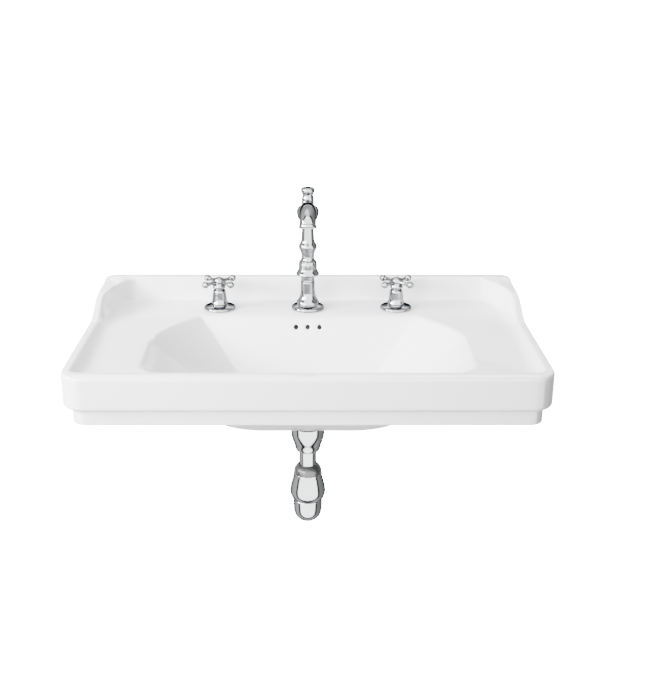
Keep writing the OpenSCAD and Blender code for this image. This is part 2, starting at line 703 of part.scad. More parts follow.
module outlet_nut() color("silver") difference() {
    translate([0, -outlet_face - 10, rim_z - outlet_drop]) rotate([-90, 0, 0])
        cylinder(r = outlet_socket_r + 3, h = outlet_face + 10 - nut_face);
    translate([0, -outlet_face - 11, rim_z - outlet_drop]) rotate([-90, 0, 0])
        cylinder(r = outlet_socket_r + run_gap, h = 11 + outlet_seal_t);
    translate([0, -outlet_face, rim_z - outlet_drop]) rotate([-90, 0, 0])
        cylinder(r = outlet_end_r + run_gap, h = 30);
}

// Spout

foot_z = -deck_drop + seal_t;
spigot_r = 9;
water_r = 6;
spigot_len = 28;
tee_r = shank_r + 3;
tee_top = link_drop - 16;
tee_foot = link_drop + 16;
shank_foot = tee_top + 9;
module spout_gasket() color("dimgray") at(0, tap_back, -deck_drop)
    tube(spout_foot_d / 2 - 2, tap_hole_d / 2 + 1, seal_t);
module spout_base() color("silver") difference() {
    at(0, tap_back, 0) turned([
        each [[0, foot_z], [spout_foot_d / 2, foot_z], [spout_foot_d / 2 + 0.2, foot_z + 2],
            [spout_foot_d / 2 - 0.8, foot_z + 4.2], [spout_foot_d / 2 - 4, foot_z + 6],
            [spout_foot_d / 2 - 8, foot_z + 7.2]],
        for (p = [[0.991, 0.15], [1, 0.19], [0.963, 0.256], [0.89, 0.303], [0.807, 0.35],
                [0.73, 0.417], [0.67, 0.492], [0.628, 0.587], [0.61, 0.72], [0.605, 0.98]])
            [p[0] * base_r, foot_z + p[1] * (swivel_z - foot_z)],
        [spigot_r + 3.6, swivel_z - move_gap / 2], [0, swivel_z - move_gap / 2]]);
    at(0, tap_back, swivel_z - spigot_len) cylinder(r = spigot_r + run_gap, h = spigot_len + 1);
    at(0, tap_back, foot_z - 1) cylinder(r = water_r + 1, h = swivel_z);
    at(0, tap_back, foot_z - 1) cylinder(r = shank_r + run_gap, h = 9);
}
module spout_shank() color("darkkhaki") at(0, tap_back, -shank_foot)
    tube(shank_r, water_r + 1, shank_foot + foot_z + 7.5);
module spout_tee() color("darkkhaki") difference() {
    union() {
        at(0, tap_back, -tee_foot) cylinder(r = tee_r, h = tee_foot - tee_top);
        at(-tee_r - 10, tap_back, -link_drop) rotate([0, 90, 0])
            cylinder(r = link_d / 2 + 2, h = 2 * (tee_r + 10));
    }
    at(0, tap_back, -shank_foot) cylinder(r = shank_r + run_gap, h = 20);
    at(0, tap_back, -tee_foot + 6) cylinder(r = water_r + 1, h = 40);
    at(0, tap_back, -tee_foot - 1) cylinder(r = lift_r + run_gap, h = 20);
    at(-60, tap_back, -link_drop) rotate([0, 90, 0]) cylinder(r = link_d / 2 - 1, h = 120);
}
module spout_washer() color("dimgray") at(0, tap_back, -deck_drop - wall_t - washer_t)
    tube(tap_hole_d / 2 + 2, shank_r + run_gap, washer_t);
lock_nut_h = 9;
module spout_lock_nut() color("darkkhaki") at(0, tap_back, -deck_drop - wall_t - washer_t - lock_nut_h)
    hex_nut(shank_d * 1.21, shank_r + run_gap, lock_nut_h);

head_foot = 0.9 * head_r;
column_top = head_z - head_foot;
column_h = column_top - swivel_z;
module spout_column() color("silver") difference() {
    at(0, tap_back, swivel_z) turned([
        each [[0, -spigot_len + 2], [spigot_r, -spigot_len + 2], [spigot_r, move_gap / 2],
            [spigot_r + 3.4, move_gap / 2]],
        each scaled([[0.594, 0.008], [0.566, 0.033], [0.571, 0.075], [0.623, 0.1],
            [0.962, 0.117], [1, 0.13], [0.986, 0.147], [0.915, 0.172], [0.83, 0.197],
            [0.792, 0.217], [0.792, 0.304], [0.755, 0.317], [0.75, 0.345], [0.642, 0.363],
            [0.571, 0.388], [0.552, 0.433], [0.575, 0.475], [0.632, 0.508], [0.717, 0.542],
            [0.778, 0.575], [0.788, 0.6], [0.75, 0.625], [0.66, 0.654], [0.59, 0.683],
            [0.547, 0.725], [0.524, 0.817], [0.491, 0.883], [0.476, 0.95], [0.5, 1], [0, 1]],
            ring_r, column_h)]);
    at(0, tap_back, swivel_z - spigot_len) cylinder(r = water_r, h = spigot_len + column_h + 1);
    for (h = [6, 13]) at(0, tap_back, swivel_z - spigot_len + h) seal_groove();
}
// The groove of a swivel seal, and the seal that fills it
module seal_groove() difference() {
    cylinder(r = spigot_r + 1, h = 2.4);
    translate([0, 0, -1]) cylinder(r = spigot_r - 1.6, h = 5);
}
module swivel_seals() color("#202020") for (h = [6, 13])
    at(0, tap_back, swivel_z - spigot_len + h + 0.2) tube(spigot_r, spigot_r - 1.5, 2);

// Points of the arm's centre line as [y, z, heading], from the head to the mouth
arm_steps = 9;
arm_line = concat(
    [for (i = [0:arm_steps]) let (a = arm_rise * (1 - i / arm_steps))
        [-arm_rise_r * (sin(arm_rise) - sin(a)), arm_rise_r * (cos(a) - cos(arm_rise)), a]],
    [for (i = [1:arm_steps]) let (a = arm_fall * i / arm_steps)
        [-arm_rise_r * sin(arm_rise) - arm_fall_r * sin(a),
         arm_rise_r * (1 - cos(arm_rise)) - arm_fall_r * (1 - cos(a)), -a]]);
arm_end = arm_line[len(arm_line) - 1];
arm_z = head_z + 2;

// A tapered round bar along the arm's centre line
module arm_sweep(r_root, r_end, n) {
    rings = len(arm_line);
    points = [for (i = [0:rings - 1]) let (p = arm_line[i], r = r_root + (r_end - r_root) * i / (rings - 1))
        for (j = [0:n - 1]) let (a = 360 * j / n)
            [r * cos(a), p[0] + r * sin(a) * sin(p[2]), p[1] + r * sin(a) * cos(p[2])]];
    skin = [for (i = [0:rings - 2]) for (j = [0:n - 1])
        [i * n + j, (i + 1) * n + j, (i + 1) * n + (j + 1) % n, i * n + (j + 1) % n]];
    polyhedron(points, concat(skin,
        [[for (j = [0:n - 1]) j], [for (j = [n - 1:-1:0]) (rings - 1) * n + j]]), convexity = 4);
}

module spout_head() color("silver") difference() {
    union() {
        at(0, tap_back, head_z) turned(scaled([
            [0, -0.9], [0.53, -0.9], [0.62, -0.82], [0.77, -0.7], [0.87, -0.55], [0.93, -0.35],
            [0.98, -0.15], [1, 0.025], [0.985, 0.2], [0.91, 0.37], [0.78, 0.5], [0.65, 0.57],
            [0.62, 0.62], [0.56, 0.68], [0.545, 0.8], [0.57, 0.9], [0.53, 1.05], [0, 1.05]],
            head_r, head_r));
        at(0, tap_back, arm_z) arm_sweep(arm_root_r, arm_end_r, 32);
    }
    at(0, tap_back, column_top - 1) cylinder(r = water_r, h = head_foot + 6);
    at(0, tap_back, head_z) cylinder(r = lift_r + run_gap, h = gland_top + 1);
    at(0, tap_back, arm_z) arm_sweep(water_r, arm_end_r - 3.4, 16);
    at_mouth(-3) cylinder(r = arm_end_r - 2.2, h = 10);
}
// Stands at the arm's mouth, with z along the water's way out
module at_mouth(out) at(0, tap_back - arm_end[0], arm_z + arm_end[1]) rotate([90 - arm_end[2], 0, 0])
    translate([0, 0, out]) children();
nozzle_len = 6;
module spout_nozzle() color("silver") at_mouth(0) difference() {
    turned([[0, 0], [arm_end_r + 0.6, 0], [arm_end_r + 1.4, 1], [arm_end_r + 1.4, nozzle_len - 1.4],
        [arm_end_r + 0.4, nozzle_len], [0, nozzle_len]]);
    translate([0, 0, -1]) cylinder(r = arm_end_r - 2, h = nozzle_len + 2);
}
module aerator() color("gray") at_mouth(0.4) difference() {
    cylinder(r = arm_end_r - 2 - run_gap, h = nozzle_len - 1);
    for (a = [0:60:300]) rotate([0, 0, a]) translate([arm_end_r * 0.45, 0, -1])
        cylinder(r = 1.6, h = nozzle_len + 2);
    translate([0, 0, -1]) cylinder(r = 1.6, h = nozzle_len + 2);
}

// Side valves

cartridge_r = 10;
bonnet_z = foot_z + 8;
hub_z = bonnet_z + bonnet_h + move_gap;
valve_foot = link_drop + 16;
port_len = 15;
spindle_top = handle_z - 1;
cartridge_foot = -deck_drop - 6;

// Copies of a fastener at both side valves
module at_valves(above) for (s = sides) at(s * valve_x, tap_back, above) children();

module valve_gaskets() color("dimgray") at_valves(-deck_drop)
    tube(valve_flange_d / 2 - 2, tap_hole_d / 2 + 1, seal_t);
module valve_washers() color("dimgray") at_valves(-deck_drop - wall_t - washer_t)
    tube(tap_hole_d * 0.6, shank_r + run_gap, washer_t);
module valve_lock_nuts() color("darkkhaki") at_valves(-deck_drop - wall_t - washer_t - lock_nut_h)
    hex_nut(shank_d * 1.29, shank_r + run_gap, lock_nut_h);

module valve_flange(s) color("silver") at(s * valve_x, tap_back, 0) difference() {
    turned([[0, foot_z], [valve_flange_d / 2, foot_z], [valve_flange_d / 2 + 0.1, foot_z + 1.6],
        [valve_flange_d / 2 - 1, foot_z + 3.6], [valve_flange_d / 2 - 5, foot_z + 5],
        [valve_flange_d / 2 - 10, foot_z + 6], [16.6, foot_z + 6.6], [16, foot_z + 8],
        [0, foot_z + 8]]);
    translate([0, 0, foot_z - 1]) cylinder(r = shank_r + run_gap, h = 12);
}
module valve_body(s) color("darkkhaki") at(s * valve_x, tap_back, 0) difference() {
    union() {
        translate([0, 0, -valve_foot]) cylinder(r = shank_r, h = valve_foot + bonnet_z);
        translate([0, 0, -valve_foot - inlet_len]) cylinder(d = inlet_d, h = inlet_len + 1);
        translate([0, 0, -link_drop]) rotate([0, -s * 90, 0])
            cylinder(r = link_d / 2 + 2, h = shank_r + port_len);
    }
    translate([0, 0, cartridge_foot]) cylinder(r = cartridge_r + run_gap, h = 40);
    translate([0, 0, -valve_foot - inlet_len - 1]) cylinder(r = water_r + 1, h = 120);
    translate([0, 0, -link_drop]) rotate([0, -s * 90, 0]) cylinder(r = link_d / 2 - 1, h = 60);
}
module bonnet(s) color("silver") at(s * valve_x, tap_back, bonnet_z) difference() {
    turned(scaled([[0, 0], [0.963, 0], [1, 0.05], [0.975, 0.13], [0.889, 0.233], [0.84, 0.4],
        [0.802, 0.618], [0.765, 0.8], [0.753, 0.91], [0.704, 1], [0, 1]], bonnet_r, bonnet_h));
    translate([0, 0, -1]) cylinder(r = cartridge_r + run_gap, h = bonnet_h - 2);
    cylinder(r = spindle_r + run_gap, h = bonnet_h + 1);
}
module cartridge(s) color("ivory") at(s * valve_x, tap_back, cartridge_foot) difference() {
    cylinder(r = cartridge_r, h = bonnet_z + bonnet_h - 3 - cartridge_foot);
    translate([0, 0, 8]) cylinder(r = spindle_r + run_gap, h = 60);
    translate([cartridge_r * 0.45, 0, -1]) cylinder(r = 2.6, h = 9);
}
module spindle(s) color("darkkhaki") at(s * valve_x, tap_back, cartridge_foot + 8 + move_gap)
    cylinder(r = spindle_r, h = spindle_top - cartridge_foot - 8 - move_gap);
module handle(s) color("silver") at(s * valve_x, tap_back, 0) difference() {
    union() {
        translate([0, 0, hub_z]) turned(scaled([[0, 0], [0.778, 0], [0.81, 0.06],
            [0.81, 0.206], [0.952, 0.303], [1, 0.448], [0.905, 0.582], [0.825, 0.818],
            [0.857, 1], [0.81, 1.218], [0.714, 1.34], [0, 1.34]], hub_r, handle_z - hub_z));
        for (i = [0:3]) translate([0, 0, handle_z]) rotate([0, 90, handle_angle + i * 90]) {
            translate([0, 0, 7]) cylinder(r1 = 4.4, r2 = 3.1, h = handle_reach - 14);
            translate([0, 0, handle_reach - 8]) cylinder(r = 4, h = 2);
            translate([0, 0, 7]) cylinder(r = 2.6, h = handle_reach - 7);
            translate([0, 0, handle_reach]) sphere(d = handle_ball_d, $fn = 36);
        }
    }
    translate([0, 0, hub_z - 1]) cylinder(r = spindle_r + run_gap, h = spindle_top - hub_z + 1 + run_gap);
    translate([0, 0, handle_z + 3]) cylinder(r = 7.2, h = 5);
}
module handle_cap(s) color("white") at(s * valve_x, tap_back, handle_z + 3)
    turned([[0, 0], [7.2 - run_gap, 0], [7.2 - run_gap, 3.4], [6, 4.6], [3.4, 5.4], [0, 5.7]]);

// Link pipes from the valves to the tee

tee_port = tee_r + 10;
valve_port = valve_x - shank_r - port_len;
module link_pipe(s) color("goldenrod") at(s * tee_port, tap_back, -link_drop) rotate([0, s * 90, 0])
    tube(link_d / 2, link_d / 2 - 1, valve_port - tee_port);
module link_nuts() color("darkkhaki") for (s = sides) for (end = [tee_port, valve_port])
    at(s * (end - 8), tap_back, -link_drop) rotate([0, s * 90, 0]) difference() {
        cylinder(d = (link_d + 10) / cos(30), h = 16, $fn = 6);
        translate([0, 0, -1]) cylinder(r = link_d / 2 + run_gap, h = 18);
        translate([0, 0, end == tee_port ? -1 : 8]) cylinder(r = link_d / 2 + 2 + run_gap, h = 9);
    }

basin();
wall_bolts();
bolt_sleeves();
bolt_washers();
bolt_nuts();
waste_flange();
flange_seal();
body_seal();
waste_body();
tail_pipe();
plug();
plug_seal();
ball_lever();
ball_seat();
ball_nut();
lift_strap();
strap_screw();
lift_rod();
lift_knob();
trap_nut();
trap_body();
trap_cup();
cup_seal();
outlet_pipe();
outlet_nut();
outlet_seal();
spout_base();
spout_gasket();
spout_shank();
spout_tee();
spout_washer();
spout_lock_nut();
spout_column();
swivel_seals();
spout_head();
spout_nozzle();
aerator();
valve_gaskets();
valve_washers();
valve_lock_nuts();
valve_flange(-1);  // valve_flange_left
valve_flange(1);  // valve_flange_right
valve_body(-1);  // valve_body_left
valve_body(1);  // valve_body_right
bonnet(-1);  // bonnet_left
bonnet(1);  // bonnet_right
cartridge(-1);  // cartridge_left
cartridge(1);  // cartridge_right
spindle(-1);  // spindle_left
spindle(1);  // spindle_right
handle(-1);  // handle_left
handle(1);  // handle_right
handle_cap(-1);  // handle_cap_left
handle_cap(1);  // handle_cap_right
link_pipe(-1);  // link_pipe_left
link_pipe(1);  // link_pipe_right
link_nuts();
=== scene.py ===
"""Looks of a wall-hung washbasin with a three-hole tap set and a bottle trap.

Sizes in the classes are millimetres in the frame of the CAD, but with z = 0 at the top of the
rim. Meshes are made in metres with z = 0 at the wall bolts, 75 mm lower, as the CAD has it.
"""
from __future__ import annotations

import json
import logging
import math
import sys
from dataclasses import dataclass, replace
from enum import Enum
from typing import Any, Callable, ClassVar, NamedTuple, Sequence

import bpy
import numpy as np
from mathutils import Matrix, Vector

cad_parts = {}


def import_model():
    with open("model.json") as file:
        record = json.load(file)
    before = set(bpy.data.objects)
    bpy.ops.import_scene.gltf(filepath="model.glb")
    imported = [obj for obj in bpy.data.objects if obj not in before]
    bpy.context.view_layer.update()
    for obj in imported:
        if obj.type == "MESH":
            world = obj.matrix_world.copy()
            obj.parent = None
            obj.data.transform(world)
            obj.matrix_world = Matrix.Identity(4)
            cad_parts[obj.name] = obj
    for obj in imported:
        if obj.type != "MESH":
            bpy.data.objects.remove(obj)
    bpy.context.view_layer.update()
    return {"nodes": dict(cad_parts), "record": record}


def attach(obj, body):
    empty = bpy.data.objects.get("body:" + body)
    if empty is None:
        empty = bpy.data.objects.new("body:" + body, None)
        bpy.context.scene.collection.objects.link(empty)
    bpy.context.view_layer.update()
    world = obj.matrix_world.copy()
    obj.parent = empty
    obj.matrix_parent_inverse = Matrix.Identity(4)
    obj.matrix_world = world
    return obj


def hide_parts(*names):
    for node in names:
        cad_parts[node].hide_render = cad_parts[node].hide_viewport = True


LOG = logging.getLogger("washbasin")
MM = 0.001
RIM_Z = 75.0  # height of the rim above the wall bolts
FREE = 99.0  # a rounding that only the length of the edges limits
CORE = 0.02  # share of a plan that the tube through its middle keeps
Points = Sequence[Sequence[float]]
Place = tuple[float, float, float]


class Side(Enum):
    """The two sides of the basin, seen from the front."""

    LEFT = -1
    RIGHT = 1

    @property
    def label(self) -> str:
        """Name that the CAD nodes carry."""
        return self.name.lower()


class Axis(Enum):
    """Directions in which a turned piece can stand, as rows that carry (x, y, z) over."""

    UP = ((1, 0, 0), (0, 1, 0), (0, 0, 1))
    BACK = ((1, 0, 0), (0, 0, -1), (0, 1, 0))


# Materials


class Socket:
    """An output socket that makes Math nodes from Python's arithmetic."""

    def __init__(self, graph: Graph, socket: bpy.types.NodeSocket | None) -> None:
        """Wraps a socket of a graph's node."""
        self.graph = graph
        self.socket = socket

    def _math(self, operation: str, *values: Any) -> Socket:
        """Adds a Math node over sockets and numbers."""
        return self.graph.add("ShaderNodeMath", dict(enumerate(values)), operation=operation)

    def __add__(self, other: Any) -> Socket:
        """Sum."""
        return self._math("ADD", self, other)

    def __sub__(self, other: Any) -> Socket:
        """Difference, taken from this socket."""
        return self._math("SUBTRACT", self, other)

    def __rsub__(self, other: Any) -> Socket:
        """Difference, taken from a number."""
        return self._math("SUBTRACT", other, self)

    def __mul__(self, other: Any) -> Socket:
        """Product."""
        return self._math("MULTIPLY", self, other)

    __radd__ = __add__
    __rmul__ = __mul__

    def clamped(self, low: float, high: float) -> Socket:
        """Keeps the value between two limits."""
        return self._math("MAXIMUM", self._math("MINIMUM", self, high), low)


class Graph:
    """A node tree that is filled by one method."""

    def __init__(self, tree: bpy.types.NodeTree) -> None:
        """Takes over a node tree and empties it."""
        self.tree = tree
        tree.nodes.clear()

    def add(self, kind: str, inputs: dict | None = None, out: int | str = 0,
            **settings: Any) -> Socket:
        """Adds a node.

        Args:
            kind: the node's type.
            inputs: values or sockets by the name or the number of the input.
            out: the output that is returned.
            **settings: the node's own attributes.

        Returns:
            The chosen output, wrapped.
        """
        node = self.tree.nodes.new(kind)
        for name, value in settings.items():
            setattr(node, name, value)
        for key, value in (inputs or {}).items():
            if isinstance(value, Socket):
                self.tree.links.new(value.socket, node.inputs[key])
            else:
                node.inputs[key].default_value = value
        if not node.outputs:
            return Socket(self, None)
        return Socket(self, node.outputs[out])

    def mottle(self, scale: float, detail: float = 3.0,
               stretch: Sequence[float] = (1, 1, 1)) -> Socket:
        """Noise over the object's own coordinates.

        Args:
            scale: spots in a metre.
            detail: octaves of the noise.
            stretch: factors on the three coordinates.

        Returns:
            The noise, about 0 to 1.
        """
        place = self.add("ShaderNodeTexCoord", out="Object")
        vector = self.add("ShaderNodeMapping", {"Vector": place, "Scale": tuple(stretch)})
        return self.add("ShaderNodeTexNoise", {"Vector": vector, "Scale": scale, "Detail": detail,
                                               "Roughness": 0.55})

    def tint(self, factor: Socket, low: Sequence[float], high: Sequence[float]) -> Socket:
        """Mixes two colours by a factor."""
        return self.add("ShaderNodeMix", {0: factor, 6: (*low, 1.0), 7: (*high, 1.0)}, out=2,
                        data_type="RGBA")


@dataclass(frozen=True)
class Finish:
    """A finish of one record slot.

    The colour (dark to light) and the roughness (smooth to rough) wander between their two ends.
    The colour and 0.6 of the roughness follow a broad mottle, and 0.4 a fine grain, which also
    gives the relief that polishing, casting or moulding leaves. mottle and grain are spots in a
    metre, relief is the strength of the bump, and edge is how bright the surface mirrors at a
    glancing angle.
    """

    name: str
    slot: str
    dark: tuple[float, float, float]
    light: tuple[float, float, float]
    smooth: float
    rough: float
    metallic: float = 0.0
    coat: float = 0.0
    coat_rough: float = 0.03
    specular: float = 0.5
    edge: float = 1.0
    mottle: float = 9.0
    grain: float = 900.0
    relief: float = 0.02
    stretch: tuple[float, float, float] = (1.0, 1.0, 1.0)
    relief_depth: ClassVar[float] = 0.0004
    made: ClassVar[dict[str, bpy.types.Material]] = {}

    def material(self) -> bpy.types.Material:
        """Builds the material, once for each finish.

        Returns:
            The material, ready to go on any piece.
        """
        if self.name in Finish.made:
            return Finish.made[self.name]
        material = bpy.data.materials.new(self.name)
        material.use_nodes = True
        graph = Graph(material.node_tree)
        broad = graph.mottle(self.mottle, 3.0)
        fine = graph.mottle(self.grain, 2.0, self.stretch)
        # From 0.19 to 0.81 the noise is stretched to 0 to 1, and beyond that it is clipped.
        worn = (broad * 1.6 - 0.3).clamped(0.0, 1.0)
        roughness = self.smooth + (self.rough - self.smooth) * (0.6 * worn + 0.4 * fine)
        bump = graph.add("ShaderNodeBump", {"Height": fine, "Strength": self.relief,
                                            "Distance": self.relief_depth})
        shader = graph.add("ShaderNodeBsdfPrincipled", {
            "Base Color": graph.tint(worn, self.dark, self.light), "Roughness": roughness,
            "Normal": bump, "Metallic": self.metallic, "Coat Weight": self.coat,
            "Coat Roughness": self.coat_rough, "Specular IOR Level": self.specular,
            "Specular Tint": (self.edge, self.edge, self.edge, 1.0)})
        graph.add("ShaderNodeOutputMaterial", {"Surface": shader})
        Finish.made[self.name] = material
        return material


GLAZE = Finish("white_glaze", "glaze", (0.90, 0.903, 0.905), (0.925, 0.926, 0.926), 0.07, 0.13,
               coat=0.35, mottle=5.0, grain=260.0, relief=0.03)
# Painted shade: the walls of the overflow holes are near-black on the glaze slot, standing in for
# the shade inside the holes.
OVERFLOW_PAINTED_SHADE = Finish("overflow_painted_shade", "glaze", (0.006, 0.006, 0.006), (0.02, 0.02, 0.02), 0.5, 0.8)
# Painted shade: both chromes have a colour of only about a quarter, far darker than real chrome,
# so that their mirror images come out dark, and edge 0.08 dims them further at a glancing angle.
# The tap's chrome is a still darker, shaded copy of the same chrome.
CHROME = Finish("polished_chrome", "chrome", (0.225, 0.23, 0.238), (0.275, 0.279, 0.286), 0.04,
                0.09, metallic=1.0, edge=0.08, mottle=30.0, relief=0.012)
SHADED_TAP_CHROME = replace(CHROME, name="tap_chrome_painted_shade", dark=(0.166, 0.17, 0.176),
                     light=(0.213, 0.217, 0.224))
ZINC = Finish("zinc_plate", "zinc_steel", (0.50, 0.51, 0.54), (0.66, 0.66, 0.65), 0.28, 0.42,
              metallic=1.0, mottle=120.0, relief=0.12, stretch=(1, 1, 0.2))
BRASS = Finish("turned_brass", "brass", (0.62, 0.47, 0.22), (0.74, 0.60, 0.33), 0.22, 0.36,
               metallic=1.0, mottle=60.0, relief=0.10, stretch=(0.3, 0.3, 4.0))
COPPER = Finish("drawn_copper", "copper", (0.62, 0.33, 0.21), (0.76, 0.45, 0.31), 0.20, 0.34,
                metallic=1.0, mottle=60.0, relief=0.08, stretch=(0.2, 4.0, 4.0))
RUBBER = Finish("black_rubber", "rubber", (0.018, 0.018, 0.018), (0.035, 0.035, 0.034), 0.62, 0.85,
                specular=0.3, mottle=80.0, relief=0.25)
WHITE_PLASTIC = Finish("white_nylon", "white_plastic", (0.80, 0.80, 0.77), (0.87, 0.87, 0.85),
                       0.38, 0.55, mottle=70.0, relief=0.10)
BLACK_PLASTIC = Finish("satin_black_plastic", "black_plastic", (0.012, 0.012, 0.013),
                       (0.030, 0.030, 0.032), 0.24, 0.38, mottle=60.0, relief=0.06)
FLOOR = Finish("pale_floor", "", (0.90, 0.90, 0.90), (0.94, 0.94, 0.94), 0.7, 0.85, specular=0.1,
               mottle=0.6, grain=30.0)

BY_SLOT = {f.slot: f for f in (GLAZE, CHROME, ZINC, BRASS, COPPER, RUBBER, WHITE_PLASTIC,
                               BLACK_PLASTIC)}


# Meshes


class Shell:
    """Closed surfaces collected for one piece, in millimetres above the rim.

    Points and faces are whole numpy arrays. Each surface that is added is turned outward by
    the sign of its volume, sum(a . (b x c)) / 6 over its triangles.
    """

    def __init__(self) -> None:
        """Starts empty."""
        self.points: list[np.ndarray] = []
        self.faces: list[np.ndarray] = []
        self.slots: list[np.ndarray] = []
        self.count = 0

    def add(self, points: np.ndarray, quads: np.ndarray, tris: np.ndarray | None = None,
            slot: int = 0) -> Shell:
        """Adds a closed surface.

        Args:
            points: array of (n, 3).
            quads: array of (m, 4) indices into the points.
            tris: array of (k, 3) indices, if there are any.
            slot: the material slot of all its faces.

        Returns:
            The shell itself.
        """
        faces = [quads] if tris is None else [quads, tris]
        fans = np.concatenate([f[:, [0, i, i + 1]] for f in faces
                               for i in range(1, f.shape[1] - 1)])
        a, b, c = (points[fans[:, i]] for i in range(3))
        if np.einsum("ij,ij->i", a, np.cross(b, c)).sum() < 0:
            faces = [f[:, ::-1] for f in faces]
        self.points.append(points)
        for f in faces:
            self.faces.append(f + self.count)
            self.slots.append(np.full(len(f), slot))
        self.count += len(points)
        return self

    def piece(self, name: str, finishes: Sequence[Finish]) -> bpy.types.Object:
        """Makes the Blender object.

        Args:
            name: the piece's name.
            finishes: a finish for each material slot.

        Returns:
            The object, smooth, at the origin and not turned.
        """
        points = np.concatenate(self.points)
        points = (points + np.array([0.0, 0.0, RIM_Z])) * MM
        sizes = np.concatenate([np.full(len(f), f.shape[1]) for f in self.faces])
        mesh = bpy.data.meshes.new(name)
        mesh.vertices.add(len(points))
        mesh.vertices.foreach_set("co", points.astype(np.float32).ravel())
        mesh.loops.add(int(sizes.sum()))
        mesh.loops.foreach_set("vertex_index",
                               np.concatenate([f.ravel() for f in self.faces]).astype(np.int32))
        mesh.polygons.add(len(sizes))
        starts = np.concatenate([[0], np.cumsum(sizes)[:-1]])
        mesh.polygons.foreach_set("loop_start", starts.astype(np.int32))
        mesh.polygons.foreach_set("material_index",
                                  np.concatenate(self.slots).astype(np.int32))
        mesh.polygons.foreach_set("use_smooth", np.ones(len(sizes), dtype=bool))
        for finish in finishes:
            mesh.materials.append(finish.material())
        mesh.update(calc_edges=True)
        mesh.validate()
        thing = bpy.data.objects.new(name, mesh)
        bpy.context.scene.collection.objects.link(thing)
        return thing


def grid_faces(rows: int, columns: int, wrap_rows: bool) -> np.ndarray:
    """Quads of a grid whose columns close on themselves.

    Args:
        rows: number of rows.
        columns: number of columns.
        wrap_rows: whether the last row joins the first.

    Returns:
        Array of (n, 4) indices.
    """
    i = np.arange(rows if wrap_rows else rows - 1)[:, None]
    j = np.arange(columns)[None, :]
    up, side = (i + 1) % rows, (j + 1) % columns
    return np.stack(np.broadcast_arrays(i * columns + j, i * columns + side,
                                        up * columns + side, up * columns + j), -1).reshape(-1, 4)


def soften(points: Points, closed: bool = False, steps: int = 5) -> np.ndarray:
    """Rounds the corners of an outline with quadratic curves.

    A corner P with neighbours A and B becomes (1-t)^2 P_a + 2t(1-t) P + t^2 P_b, where P_a and
    P_b lie on its two edges, at most half an edge away. A third number in a point is the
    greatest distance of P_a and P_b, and so the size of the rounding.

    Args:
        points: the outline, (radius, height) or (radius, height, reach).
        closed: whether the last point joins the first.
        steps: points on each rounded corner.

    Returns:
        The dense outline, (n, 2).
    """
    flat = np.array([p[:2] for p in points], dtype=float)
    reach = np.array([p[2] if len(p) > 2 else FREE for p in points])
    before, after = np.roll(flat, 1, 0) - flat, np.roll(flat, -1, 0) - flat
    shares = [np.minimum(reach / np.maximum(np.linalg.norm(v, axis=1), 1e-9), 0.5)[:, None]
              for v in (before, after)]
    start, end = flat + before * shares[0], flat + after * shares[1]
    t = np.linspace(0, 1, steps)[None, :, None]
    curve = (1 - t) ** 2 * start[:, None] + 2 * t * (1 - t) * flat[:, None] + t**2 * end[:, None]
    if not closed:
        curve[0], curve[-1] = flat[0], flat[-1]
    curve = curve.reshape(-1, 2)
    keep = np.linalg.norm(curve - np.roll(curve, 1, 0), axis=1) > 1e-6
    return curve[keep | ((np.arange(len(curve)) == 0) & (not closed))]


@dataclass
class Lathe:
    """A turned surface.

    The point at angle a on a ring of radius r and height h is (r cos a, r sin a, h), carried
    over by the axis and moved to the place.
    """

    outline: Points
    place: Place = (0.0, 0.0, 0.0)
    closed: bool = True
    axis: np.ndarray | Axis = Axis.UP
    segments: int = 64
    steps: int = 5

    def into(self, shell: Shell, slot: int = 0) -> Shell:
        """Adds the surface to a shell. An open outline starts and ends on the axis.

        Args:
            shell: the shell that takes it.
            slot: the material slot of its faces.

        Returns:
            The shell.
        """
        outline = soften(self.outline, self.closed, self.steps)
        turn = np.array(self.axis.value if isinstance(self.axis, Axis) else self.axis, dtype=float)
        angle = np.arange(self.segments) * 2 * np.pi / self.segments
        ends = [] if self.closed else [outline[0], outline[-1]]
        rings = outline if self.closed else outline[1:-1]
        points = np.stack(np.broadcast_arrays(
            rings[:, :1] * np.cos(angle), rings[:, :1] * np.sin(angle), rings[:, 1:]), -1)
        points = points.reshape(-1, 3)
        quads = grid_faces(len(rings), self.segments, self.closed)
        tris = None
        if ends:
            n, last = len(points), len(points) - self.segments
            points = np.concatenate([points, [[0, 0, e[1]] for e in ends]])
            j = np.arange(self.segments)
            k = (j + 1) % self.segments
            tris = np.concatenate([np.stack([k, j, np.full_like(j, n)], -1),
                                   np.stack([last + j, last + k, np.full_like(j, n + 1)], -1)])
        return shell.add(points @ turn + np.array(self.place), quads, tris, slot)


def tube_along(line: np.ndarray, heading: np.ndarray, outer: np.ndarray, inner: float,
               segments: int = 40) -> tuple[np.ndarray, np.ndarray]:
    """A bored bar along a curve in the plane x = 0.

    A ring around (y, z) with heading h has the points
    (r cos a, y + r sin a sin h, z + r sin a cos h).

    Args:
        line: array of (n, 2), the curve's y and z.
        heading: array of (n,), radians by which the curve climbs towards the front.
        outer: array of (n,), the radii outside.
        inner: the radius of the bore.
        segments: points round the bar.

    Returns:
        Points and quads of the closed surface.
    """
    path = np.concatenate([line, line[::-1]])
    climb = np.concatenate([heading, heading[::-1]])[:, None]
    radius = np.concatenate([outer, np.full(len(line), inner)])[:, None]
    angle = np.arange(segments)[None, :] * 2 * np.pi / segments
    up = radius * np.sin(angle)
    points = np.stack([radius * np.cos(angle), path[:, :1] + up * np.sin(climb),
                       path[:, 1:] + up * np.cos(climb)], -1).reshape(-1, 3)
    return points, grid_faces(len(path), segments, True)


